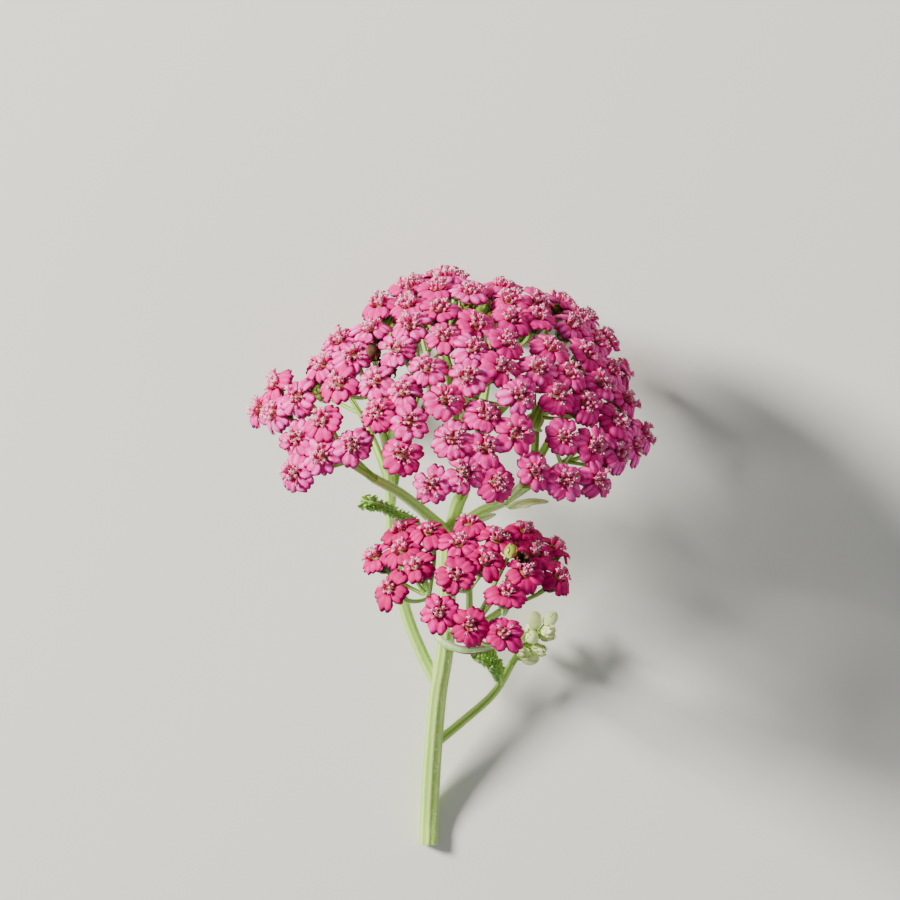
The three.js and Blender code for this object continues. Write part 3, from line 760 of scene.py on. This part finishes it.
class Finish(Tree):
    """A material whose even values are set straight on its shader"""

    def __init__(self, name, glow=None, **values):
        self.material = bpy.data.materials.new(name)
        self.material.use_nodes = True
        super().__init__(self.material.node_tree)
        self.surface = self.nodes.nodes["Principled BSDF"].inputs
        if glow:
            names = ("Subsurface_Weight", "Subsurface_Radius", "Subsurface_Scale")
            values.update(zip(names, glow))
        for socket, value in values.items():
            self.surface[socket.replace("_", " ")].default_value = value

    def marks(self):
        """The two marks of a shape: across or around it, and along it"""
        return self.add("ShaderNodeSeparateXYZ", {0: self.one("ShaderNodeUVMap", {}, uv_map="marks")})[:2]

    def paint(self, shade, height=None, strength=0.3):
        """The finished material, in a colour and with a fine relief"""
        self.put(shade, self.surface["Base Color"])
        if height is not None:
            values = {"Height": height, "Strength": strength, "Distance": RELIEF_DEPTH}
            self.put(self.one("ShaderNodeBump", values), self.surface["Normal"])
        return self.material


def petal_material(name, codes):
    """Painted highlights make the petal pale on its puffed lobes; it is darker at its rim and its root, with
    painted shade in its grooves
    """
    # pale is the painted highlight colour; deep is the rim's own colour, also used for the painted shade in
    # the grooves
    body, pale, deep = colors(codes)
    t = Finish(name, glow=(0.15, (1.0, 0.2, 0.6), 0.0005), Roughness=0.55, Specular_IOR_Level=0.12)
    across, along = t.marks()
    face = t.group(PETAL_FACE, Across=across, Along=along, Puff=t.number("puff"), Tint=t.number("tint"))
    # Each head's tone sets how strong its painted highlights are
    painted_highlight = t.times(face["Pale"], t.ease(t.number("tone"), 0.0, 1.0, 0.3, 1.45))
    # The rim's own colour, with the painted shade of the grooves at 0.4 of its strength
    rim_and_groove_shade = t.larger(face["Rim"], t.times(face["Groove"], 0.4))
    rimmed_and_shaded = t.blend(t.times(rim_and_groove_shade, 0.5), t.blend(painted_highlight, body, pale), deep)
    return t.paint(t.blend(t.ease(along, 0.3, 0.0, 0.0, 0.55), rimmed_and_shaded, deep), face["Height"], 0.35)


def floret_material(name, codes):
    """Colours by height on the floret"""
    tube, lobe, throat, anther = colors(codes)
    t = Finish(name, glow=(0.25, (1.0, 0.5, 0.4), 0.0004), Roughness=0.45)
    mark = t.marks()[1]
    pinker = t.blend(t.ease(t.number("tint"), 0.35, 1.0, 0.0, 0.6), lobe, tube)
    spread = t.blend(t.ease(mark, 0.3, 0.5), tube, pinker)
    deep = t.blend(t.ease(mark, 0.6, 0.72), spread, throat)
    return t.paint(t.blend(t.ease(mark, 0.78, 0.86), deep, anther))


def scale_material(name, codes):
    """Scales in two mottled colours, with rims of a third"""
    body, dark, rim = colors(codes)
    t = Finish(name, glow=(0.12, (0.5, 1.0, 0.2), 0.0005), Roughness=0.55)
    across, along = t.marks()
    edge = t.larger(t.from_middle(across), along)
    mottle = t.group(MOTTLE, Scale=900.0)
    mixed = t.blend(mottle["Mask"], body, dark)
    return t.paint(t.blend(t.ease(edge, 0.7, 0.98, 0.0, 0.75), mixed, rim), mottle["Height"])


def stalk_material(name, codes):
    """Pale ribs, green furrows and a faint stain here and there"""
    rib, furrow, stain = colors(codes)
    t = Finish(name, glow=(0.15, (0.6, 1.0, 0.25), 0.0006),
               Roughness=0.5, Specular_IOR_Level=0.4, Sheen_Weight=0.2)
    fibres = t.group(FIBRES, Run=t.number("run"), Around=t.number("around"))
    ribbed = t.blend(t.ease(t.number("crest"), 0.2, 0.9), furrow, rib)
    lined = t.blend(t.times(fibres["Mask"], 0.35), ribbed, furrow)
    mottle = t.group(MOTTLE, Scale=120.0, Low=0.55, High=0.85)
    return t.paint(t.blend(t.times(mottle["Mask"], 0.22), lined, stain), fibres["Height"])


def leaf_material(name, codes):
    """Patches of two greens, a midrib, fine side veins and a margin that turns colour to the tip"""
    body, pale, rib, margin = colors(codes)
    t = Finish(name, glow=(0.15, (0.4, 1.0, 0.15), 0.0005),
               Roughness=0.5, Specular_IOR_Level=0.4, Sheen_Weight=0.15)
    across, along = t.marks()
    side = t.from_middle(across)
    mottle = t.group(MOTTLE, Scale=450.0)
    patched = t.blend(mottle["Mask"], body, pale)
    wave = t.work_out("SINE", t.times(t.times_plus(side, -0.5, along), 80.0))
    veined = t.larger(t.ease(wave, 0.7, 1.0, 0.0, 0.35), t.ease(side, 0.2, 0.05, 0.0, 0.8))
    outer = t.times(t.ease(side, 0.55, 0.85), t.ease(along, 0.3, 0.7))
    shade = t.blend(outer, t.blend(veined, patched, rib), margin)
    return t.paint(shade, t.plus(mottle["Height"], wave), 0.25)


def plain_material(name, codes, scale, roughness):
    """Two colours in uneven patches"""
    t = Finish(name, Roughness=roughness)
    mottle = t.group(MOTTLE, Scale=scale)
    return t.paint(t.blend(mottle["Mask"], *colors(codes)), mottle["Height"])


# Petal colours: body, painted highlight, and the rim colour that also paints the shade in the grooves
pink_petal = petal_material("pink petal", "d4027a fa6cc8 960038")
magenta_petal = petal_material("magenta petal", "b8005c fa0aa0 700024")
floret = floret_material("disc floret", "e03c88 fa80bc 822822 ffe2b0")
cup_green = scale_material("cup green", "688616 485c0e 882824")
bud_green = scale_material("bud green", "f0fcba e2f496 d0e082")
young_green = scale_material("young green", "cee060 a4c038 968232")
stem_green = stalk_material("stem green", "ceea80 a2cc52 b4ba5a")
limb_green = stalk_material("limb green", "bcde68 80ae34 9cac42")
leaf_green = leaf_material("leaf green", "489610 88ce28 c4d646 d8f0a0")
pale_leaf = leaf_material("pale leaf", "ceea86 eefabe faffd8 e2f0a8")
silver_leaf = leaf_material("silver leaf", "84b65c c4dca4 d6e8ba 842c1a")
down = plain_material("white down", "f4fadc dceaba", 200.0, 0.6)
dry_brown = plain_material("dry brown", "683e20 2c1a0e", 700.0, 0.85)
pith = plain_material("pith", "e2ecb0 bed078", 900.0, 0.7)


# ---- the shapes that repeat

RAY_ROOT = 0.85
RAY_REACH = 3.05
RAY_PUFF = 0.08
RAY_ARCH = 0.35
RAY_ROOT_WIDTH = 0.32  # of the widest place
RAY_WIDEST = 0.7  # the share of the length where a ray is widest
RAY_NARROWING = 0.22  # from there to the tip
RAY_SHOULDER = 0.12  # how much shorter a ray is at its sides
BLADE_THICKNESS = 0.16
SCALE_THICKNESS = 0.1
LEAF_THICKNESS = 0.2
RAY_SHAPES = (
    # lobes, half the width, share of the reach, droop, curl of the sides, depth of the notches
    (3, 2.05, 1.00, 0.45, 0.30, 0.11),
    (3, 1.90, 0.97, 0.95, 0.60, 0.10),
    (2, 1.80, 1.00, 0.60, 0.30, 0.16),
    (3, 2.15, 0.94, 0.05, 0.65, 0.12),
    (2, 1.65, 1.03, 0.80, 0.10, 0.13),
    (3, 1.85, 0.90, 1.45, 0.35, 0.10),
)


def ray_mesh(index, lobes, half, share, droop, curl, notch):
    """A blunt ray with puffed lobes between its grooves"""
    def place(across, along):
        lobe = abs(sin(pi * lobes * across))
        side = 2 * across - 1
        reach = RAY_REACH * share * (1 - notch * (1 - lobe ** 0.5) - RAY_SHOULDER * side ** 4)
        width = RAY_ROOT_WIDTH + (1 - RAY_ROOT_WIDTH) * sin(pi / 2 * min(1, along / RAY_WIDEST))
        close = 1 - RAY_NARROWING * max(0, (along - RAY_WIDEST) / (1 - RAY_WIDEST)) ** 2
        puff = RAY_PUFF * lobe * sin(pi * (0.06 + 0.86 * along))
        rise = RAY_ARCH * sin(pi * min(1, along * 1.15))
        height = rise + puff - droop * along ** 2 - curl * abs(side) ** 2.5 * along
        return (RAY_ROOT + reach * along, side * half * width * close, height)
    mesh = blade(f"ray {index}", place, 9 if lobes == 3 else 8, 4, BLADE_THICKNESS)
    puffs = [abs(sin(pi * lobes * loop.uv.x)) for loop in mesh.uv_layers["marks"].data]
    store(mesh, "puff", puffs, domain="CORNER")
    return mesh


def open_floret(index, height, spread):
    """A tube whose five narrow lobes spread round its anthers"""
    return turned(f"floret {index}", (
        (0, -0.25, 0), (0.14, -0.22, 0.05), (0.24, 0.62 * height, 0.3), (spread, 0.95 * height, 0.55, 0.7),
        (0.13, 0.8 * height, 0.74), (0.09, 1.05 * height, 0.9), (0, 1.12 * height, 1)), 10)


def closed_floret(index, height):
    return turned(f"floret {index}", (
        (0, -0.25, 0), (0.17, -0.2, 0.1), (0.2, 0.6 * height, 0.3), (0.27, 0.85 * height, 0.5),
        (0, height, 0.6)), 6)


def scale_mesh(name, length, half, belly):
    """A pointed scale that stands up, its outer face along X"""
    def place(across, along):
        side = 1 - 2 * across
        width = half * sin(pi * (0.22 + 0.72 * along)) ** 0.8
        return (belly * sin(pi * along) - 0.12 * side * side, side * width, length * along)
    return blade(name, place, 2, 3, SCALE_THICKNESS)


def pinna_mesh(index, length, half, teeth):
    """A leaflet that reaches out along X with its edge towards Z, with rounded lobes on both sides"""
    def place(across, along):
        side = 1 - 2 * across
        lobe = abs(sin(pi * teeth * along)) ** 0.7
        width = half * sin(pi * (0.16 + 0.7 * along)) ** 0.5 * (0.55 + 0.45 * lobe * abs(side))
        frill = 0.3 * half * abs(side) * (0.6 + lobe) - 0.3 * along ** 2
        return (length * along, frill, side * width + 0.25 * length * along ** 2)
    return blade(f"pinna {index}", place, 4, 4 * teeth, BLADE_THICKNESS)


# The cup under a head is closed above by the floor that the florets stand on
CUP_RINGS = ((0, -CUP_FOOT - 0.1, 0), (0.45, -CUP_FOOT, 0.05), (1.1, -3.55, 0.2), (1.5, -2.6, 0.4),
             (1.58, -1.5, 0.6), (1.3, -0.3, 0.8), (0.8, 0.25, 0.9), (0, 0.4, 1))
BUD_RINGS = ((0, 0, 0), (0.55, 0.12, 0.1), (0.95, 0.6, 0.25), (1.12, 1.35, 0.5), (1.0, 2.1, 0.7),
             (0.6, 2.7, 0.9), (0, 2.95, 1))
HAIR_RINGS = ((0.02, 0, 0), (0.016, 0.3, 0.5), (0, 0.6, 1))

ray_box = parts_box(*(ray_mesh(index, *shape) for index, shape in enumerate(RAY_SHAPES)))
floret_box = parts_box(open_floret(0, 1.5, 0.62), open_floret(1, 1.75, 0.66), open_floret(2, 1.35, 0.54),
                       open_floret(3, 1.6, 0.58), closed_floret(4, 1.2))
cup_box = parts_box(turned("cup", CUP_RINGS, 9))
cup_scale_box = parts_box(scale_mesh("cup scale", 1.7, 0.62, 0.2))
pinna_box = parts_box(pinna_mesh(0, 1.8, 1.0, 3), pinna_mesh(1, 1.6, 1.1, 2))
bud_box = parts_box(turned("bud", BUD_RINGS, 10))
bud_scale_box = parts_box(scale_mesh("bud scale", 1.5, 0.6, 0.22))
hair_box = parts_box(turned("hair", HAIR_RINGS, 3))


# ---- flower heads

HEAD_UNEVEN = 0.06
CUP_SCALES = dict(Count=18, Ring=0.62, Spread=0.21, Height=-3.85, Climb=0.12, Pitch=0.75, Lean=-0.17,
                  Sway=0.05, Uneven=0.08)


def plan_heads():
    plans = [(spray, CROWN) for spray in CROWN_SPRAYS] + [(spray, LOWER) for spray in LOWER_SPRAYS]
    heads = [head for index, (spray, dome) in enumerate(plans) for head in lay_out(spray, dome, index)]
    settle(heads)
    stand_up(heads)
    return heads


def head_seats(heads, seed):
    draw = random_draw(seed)
    return [Seat(head.point, head.aim, 1 + HEAD_UNEVEN * draw(), 0.5 + draw()) for head in heads]


heads = plan_heads()
upper_heads = [head for head in heads if head.spray < len(CROWN_SPRAYS)]
lower_heads = [head for head in heads if head.spray >= len(CROWN_SPRAYS)]
for cluster, members, sprays, petal, slot, floret_count, seed in (
        ("upper", upper_heads, CROWN_SPRAYS, pink_petal, "rays_pink", 13, 5),
        ("lower", lower_heads, LOWER_SPRAYS, magenta_petal, "rays_magenta", 8, 9)):
    seats = head_seats(members, 100 + seed)
    rays = grow_whorls(f"rays_{cluster}", seats, ray_box, petal, slot,
                       Count=RAY_COUNT, Step=TURN / RAY_COUNT, Sway=0.2, Uneven=0.09, Seed=seed)
    florets = grow_whorls(f"florets_{cluster}", seats, floret_box, floret, slot, Count=floret_count,
                          Spread=0.37, Height=0.2, Lean=0.15, Sway=0.3, Uneven=0.18, Seed=seed + 1)
    cups = grow_whorls(f"cups_{cluster}", seats, cup_box, cup_green, "stem", Count=1, Seed=seed)
    scales = grow_whorls(f"cup_scales_{cluster}", seats, cup_scale_box, cup_green, "stem",
                         Seed=seed, **CUP_SCALES)
    press_on_surface(rays, florets, cups, scales)
    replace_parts(rays, *(f"rays_{spray.name}" for spray in sprays))


# ---- stalks

# How many steps each kind of stalk is drawn in
TRUNK_STEPS, BRANCH_STEPS, RIB_STEPS, LIMB_STEPS, PEDICEL_STEPS, SHORT_STEPS = 90, 40, 24, 14, 9, 3


def spray_runs(index, spray, heads):
    """The limb of a spray and the pedicels that leave its last stretch"""
    own = [head for head in heads if head.spray == index]
    middle = sum((head.point for head in own), Vector()) / len(own)
    facing = sum((head.normal for head in own), Vector()).normalized()
    limb = limb_to(spray.branch, spray.at, middle - facing * KNOT_DEPTH)
    runs = [Run(limb, LIMB_RADII, LIMB_STEPS)]
    first = 1 - PEDICEL_STRETCH / limb.length
    for k, head in enumerate(own):
        share = min(1 - k / len(own) * ROOT_SPREAD, LAST_ROOT)
        root = limb.at(first + (1 - first) * share)
        foot = head.point - head.normal * CUP_FOOT
        bend = foot - head.normal * (foot - root).length * PEDICEL_BEND
        runs.append(Run(bent_path(root, bend, foot), PEDICEL_RADII, PEDICEL_STEPS))
    return runs


limbs = grow_stalks("limbs", [run for index, spray in enumerate(CROWN_SPRAYS + LOWER_SPRAYS)
                              for run in spray_runs(index, spray, heads)], limb_green, furrow=0.14)
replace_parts(limbs, *(f"stalks_{spray.name}" for spray in CROWN_SPRAYS + LOWER_SPRAYS))

BRANCHES = (CROWN_STEM, SECOND_STEM, LEFT_BRANCH, RIGHT_BRANCH, LOWER_BRANCH, SIDE_SHOOT)
branch_runs = [Run(smooth_path(branch.line), branch.radii, BRANCH_STEPS) for branch in BRANCHES]
branches = grow_stalks("branches", branch_runs, stem_green, sides=32, ribs=6.0, furrow=0.1)
trunk = grow_stalks("trunk", [Run(smooth_path(TRUNK.line), TRUNK.radii, TRUNK_STEPS)],
                    stem_green, sides=60, ribs=8.0, furrow=0.09)
press_on_surface(trunk)
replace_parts(trunk, "main_stem")

for name, stem, seed in (("down_on_branches", branches, 4), ("down_on_trunk", trunk, 5)):
    press_on_surface(grow(name, stem.data.copy(), FUR, "stem",
                          Parts=hair_box, Density=4e6, Lie=1.1, Seed=seed, Material=down))


# ---- leaves

Leaf = namedtuple("Leaf", "name finish half teeth cut face root line")

FERNY_LEAVES = (
    Leaf("leaf_cut", leaf_green, 1.9, 6, 0.4, (-0.2, -0.3, 0.9), (-2.5, -7, 28.1),
         ((-4.4, -7.4, 28.4), (-6.9, -4.9, 32.6), (-9.1, -3.6, 35.7), (-11.3, -2.1, 38.4), (-13.6, -1, 40.4),
          (-16.2, -0.3, 41.2))),
    Leaf("leaf_side", leaf_green, 2.2, 4, 0.65, (0.3, 0.2, 0.9), (9.8, -39.8, 6.9),
         ((9.6, -39.2, 7.9), (8.7, -35.9, 11.1), (7.1, -33.6, 12.4), (5.5, -32.4, 12.8))),
)
TOOTHED_LEAVES = (
    Leaf("leaf_under", silver_leaf, 1.3, 7, 0.3, (0, -0.5, 0.8), (-1.9, -21.6, 19.9),
         ((-2.5, -21.9, 20.9), (-4.3, -23.2, 25.1), (-2.9, -25.6, 29.1), (-1.3, -27.4, 31.7),
          (1.8, -28.6, 32.9), (5.5, -28.8, 32.2), (9.1, -28.2, 31.2), (12.2, -26.6, 30.7))),
    Leaf("bract_centre", leaf_green, 2.2, 4, 0.3, (0, -0.2, 0.95), (14.8, 13.3, 46.7),
         ((14.1, 13.5, 48.2), (14.4, 14.2, 51.9), (16, 18.6, 54.9))),
    Leaf("bract_high", leaf_green, 1.6, 3, 0.4, (0.2, 0, 0.9), (21.9, 24, 36.1),
         ((21.9, 23.1, 37.6), (21.4, 23.5, 41), (23, 24.8, 43), (24.9, 26.2, 42))),
    Leaf("bract_arch", pale_leaf, 1.5, 3, 0.25, (0, -0.6, 0.8), (9.9, -1, 39.7),
         ((10.9, -1.7, 40.8), (12, -0.5, 45.2), (14.5, 0.5, 48.2), (17.5, 0.7, 49.7))),
    Leaf("bract_fork", pale_leaf, 1.2, 2, 0.2, (0, -0.6, 0.8), (2.6, -6.5, 28.5),
         ((3, -6.5, 30), (5.5, -4.7, 33), (8.2, -3.4, 36))),
)
PINNA_LENGTH = 1.9
PINNA_PAIRS = 12
PINNA_START = 0.2  # the first pair, as a share of the leaf
PINNA_SPAN = 0.72
PINNA_UNEVEN = 0.2
STRIP_SHARE = 0.55  # width of a ferny leaf's middle strip, of the leaf's


def leaf_mesh(leaf, share_of_width=1.0):
    """A leaf with teeth along its margins"""
    path = smooth_path(leaf.line)

    def place(across, along):
        share = 2 * across - 1
        width = share_of_width * leaf.half * (0.25 + 0.75 * sin(pi * (0.15 + 0.85 * along)))
        width *= 1 - leaf.cut * (1 - (along * leaf.teeth) % 1) * max(0, abs(share) - 0.5) * 2
        ahead = path.along(along)
        up = square_to(ahead, Vector(leaf.face))
        lift = up * (0.3 * width * share ** 2 - 0.1 * width)
        return path.at(along) + up.cross(ahead) * share * width + lift
    return blade(leaf.name, place, 8, 6 * leaf.teeth, LEAF_THICKNESS)


def pinna_seats(leaf, seed):
    """Places for pairs of leaflets along a ferny leaf, longer towards its tip"""
    path = smooth_path(leaf.line)
    draw = random_draw(seed)
    seats = []
    for k in range(PINNA_PAIRS):
        t = PINNA_START + PINNA_SPAN * k / (PINNA_PAIRS - 1)
        ahead = path.along(t)
        up = square_to(ahead, Vector(leaf.face))
        aim = Matrix((up.cross(ahead), up, ahead)).transposed().to_quaternion()
        size = leaf.half * (0.75 + 0.4 * t) / PINNA_LENGTH * (1 + PINNA_UNEVEN * draw())
        seats.append(Seat(path.at(t), aim, size))
    return seats


def rib_run(leaf, end, radii):
    """A rib that starts from the leaf's root in its stem"""
    return Run(smooth_path((leaf.root, *leaf.line)), radii, RIB_STEPS, end)


rib_runs = []
for seed, leaf in enumerate(FERNY_LEAVES):
    add_piece(f"{leaf.name}_strip", leaf_mesh(leaf, STRIP_SHARE), leaf.finish)
    pinnae = grow_whorls(f"{leaf.name}_pinnae", pinna_seats(leaf, 31 + seed), pinna_box, leaf.finish, "stem",
                         Count=2, Step=pi, Pitch=-0.55, Sway=0.12, Uneven=0.1, Seed=seed)
    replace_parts(pinnae, leaf.name)
    rib_runs.append(rib_run(leaf, 0.97, (0.4, 0.26, 0.14)))
for leaf in TOOTHED_LEAVES:
    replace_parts(add_piece(f"{leaf.name}_blade", leaf_mesh(leaf), leaf.finish), leaf.name)
    rib_runs.append(rib_run(leaf, 0.2 if leaf.name == "leaf_under" else 0.9, (0.4, 0.2, 0.1)))
grow_stalks("leaf_ribs", rib_runs, limb_green, sides=8, ribs=0.0, furrow=0.0)


# ---- buds and withered heads

BUD_COUNT = 12
BUD_START = 0.08  # the first bud, as a share of the stalk
BUD_CLOSING = 0.6  # from this share on, the buds close in on the tip
BUD_BASE = 1.25  # from the bud stalk to a bud's foot
BUD_SIZE = 1.1
BUD_FORWARD = 0.6  # how much a bud turns towards the tip
BUD_INSET = 0.2
BUD_RADII = (0.34, 0.36, 0.42)
BUD_SCALES = dict(Count=15, Ring=0.5, Spread=0.13, Height=0.1, Climb=0.1, Pitch=0.5, Lean=-0.22,
                  Sway=0.04, Uneven=0.08)
WITHERED_SCALES = CUP_SCALES | dict(Count=20, Spread=0.2, Pitch=0.8, Lean=-0.14, Sway=0.15, Uneven=0.2)
# The foot of each withered head and its size, the solid's own first
WITHERED_FEET = (
    (Vector(CROWN.middle) + outward_at(radians(-48), radians(27)) * 32.9, 0.9),
    (Vector((-13.6, 26.6, 50.6)), 0.8),
)
# A young bud and a withered one among the lower heads
YOUNG_FEET = ((Vector((10.3, -8.2, 56.6)), 1.05), (Vector((12.2, -8.9, 58.2)), 0.85))


def bud_plan():
    """The buds round the side shoot's end, and the short stalks under them"""
    path = smooth_path(BUD_STALK.line)
    shoot, start = Vector(SIDE_SHOOT.line[-1]), Vector(BUD_STALK.line[0])
    joint = bent_path(shoot, shoot.lerp(start, 0.5), start)
    seats, runs = [], [Run(joint, (0.7, 0.7), SHORT_STEPS), Run(path, BUD_STALK.radii, RIB_STEPS)]
    for k in range(BUD_COUNT):
        t = BUD_START + (1 - BUD_START) * k / (BUD_COUNT - 1)
        root, ahead = path.at(t), path.along(t)
        side = square_to(ahead, RIGHT)
        spread = 1 - 0.75 * max(0, (t - BUD_CLOSING) / (1 - BUD_CLOSING))
        turn = GOLDEN_TURN * k
        sideways = side * cos(turn) + ahead.cross(side) * sin(turn)
        out = (sideways * spread + ahead * BUD_FORWARD).normalized()
        foot = root + out * BUD_BASE
        seats.append(Seat(foot, aim_of(out, ahead if abs(out.dot(ahead)) < 0.9 else side), BUD_SIZE))
        stalk = bent_path(root, root.lerp(foot, 0.5), foot + out * BUD_INSET)
        runs.append(Run(stalk, BUD_RADII, SHORT_STEPS))
    return seats, runs


def lone_stalks(feet, branch, at, radii, raised=0, tone=0.5):
    """Stalks that end at single feet, and a seat above each foot by a share of its size"""
    seats, runs = [], []
    for foot, size in feet:
        limb = limb_to(branch, at, foot)
        ahead = limb.along(1)
        seats.append(Seat(foot + ahead * raised * size, aim_of(ahead, RIGHT), size, tone))
        runs.append(Run(limb, radii, LIMB_STEPS))
    return seats, runs


bud_seats, bud_runs = bud_plan()
buds = grow_whorls("buds", bud_seats, bud_box, bud_green, "bud", Count=1, Uneven=0.12, Seed=3)
grow_whorls("bud_scales", bud_seats, bud_scale_box, bud_green, "bud", Seed=3, **BUD_SCALES)
grow_stalks("bud_stalks", bud_runs, limb_green)
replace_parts(buds, "bud_spray")

dry_seats, dry_runs = lone_stalks(WITHERED_FEET, SECOND_STEM, 0.97, (0.6, 0.5, 0.45), CUP_FOOT, 0.2)
withered = grow_whorls("withered_cup", dry_seats, cup_box, dry_brown, "withered", Count=1, Seed=1)
grow_whorls("withered_scales", dry_seats, cup_scale_box, dry_brown, "withered", Seed=1, **WITHERED_SCALES)
grow_whorls("withered_rays", dry_seats, ray_box, dry_brown, "withered",
            Count=RAY_COUNT, Step=TURN / RAY_COUNT, Pitch=1.0, Sway=0.4, Uneven=0.3, Seed=2)
grow_stalks("withered_stalks", dry_runs, limb_green, furrow=0.14)
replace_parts(withered, "withered_head")

(young_seat, dry_seat), young_runs = lone_stalks(YOUNG_FEET, LOWER_BRANCH, 0.9, (0.5, 0.4, 0.42))
grow_whorls("young_bud", [young_seat], bud_box, young_green, "bud", Count=1, Seed=6)
grow_whorls("young_bud_scales", [young_seat], bud_scale_box, young_green, "bud", Seed=6, **BUD_SCALES)
grow_whorls("withered_bud_scales", [dry_seat], bud_scale_box, dry_brown, "withered", Count=14, Ring=0.1,
            Spread=0.14, Height=0.1, Climb=0.06, Pitch=0.3, Lean=0.12, Sway=0.2, Uneven=0.25, Seed=7)
grow_stalks("young_bud_stalks", young_runs, limb_green)


def cut_face():
    """The white pith where the trunk was cut"""
    path = smooth_path(TRUNK.line)
    disc = turned("pith", ((0, -0.2, 0), (1.15, -0.2, 0.6), (1.2, 0.04, 0.9), (0, 0.08, 1)), 24)
    disc.transform(Matrix.Translation(path.at(0)) @ aim_of(-path.along(0), RIGHT).to_matrix().to_4x4())
    return disc


add_piece("pith", cut_face(), pith)


# ---- studio

FLOOR_HALF = 3.0
FLOOR_DROP = 0.0002  # metres below the stem, so that the two never share a face
CAMERA_ELEVATION = radians(83)
CAMERA_DISTANCE = 0.9
CAMERA_AIM = 7.27  # millimetres above the crown's middle in the picture
LENS = 198
SENSOR = 36


def add_floor():
    corners = [(x * FLOOR_HALF, y * FLOOR_HALF, 0) for x, y in ((-1, -1), (1, -1), (1, 1), (-1, 1))]
    mesh = new_mesh("floor", corners, [(0, 1, 2, 3)])
    mesh.materials.append(Finish("floor paper", Roughness=0.9).paint(colors("e2e0d8")[0]))
    floor = add_to_scene("floor", mesh)
    floor.location.z = -FLOOR_DROP


def add_light(name, place, target, size, power, tint):
    light = bpy.data.lights.new(name, "AREA")
    light.size = size
    light.energy = power
    light.color = tint
    lamp = add_to_scene(name, light)
    lamp.location = place
    lamp.rotation_euler = (Vector(target) - Vector(place)).to_track_quat("-Z", "Y").to_euler()


def add_camera():
    """The camera looks down on the lying stem, a little from the side of the flowers"""
    back = Vector((0, cos(CAMERA_ELEVATION), sin(CAMERA_ELEVATION)))
    up = Vector((0, sin(CAMERA_ELEVATION), -cos(CAMERA_ELEVATION)))
    place = to_scene(Vector(CROWN.middle) + up * CAMERA_AIM) + back * CAMERA_DISTANCE
    lens = bpy.data.cameras.new("camera")
    lens.sensor_width = SENSOR
    lens.lens = LENS
    lens.clip_start = 0.05
    camera = add_to_scene("camera", lens)
    camera.matrix_world = Matrix.Translation(place) @ Matrix((RIGHT, up, back)).transposed().to_4x4()
    bpy.context.scene.camera = camera


def add_sky():
    world = bpy.data.worlds.new("studio")
    world.use_nodes = True
    background = world.node_tree.nodes["Background"]
    background.inputs["Color"].default_value = colors("e6eaf0")[0]
    background.inputs["Strength"].default_value = 0.3
    bpy.context.scene.world = world


add_floor()
add_sky()
add_light("key", (-1.0, 0.55, 0.75), (0, 0.02, 0.04), 0.3, 52, (1, 0.97, 0.92))
add_light("fill", (0.9, -0.4, 0.7), (0, 0.02, 0.03), 0.9, 2.5, (0.95, 0.97, 1))
add_camera()
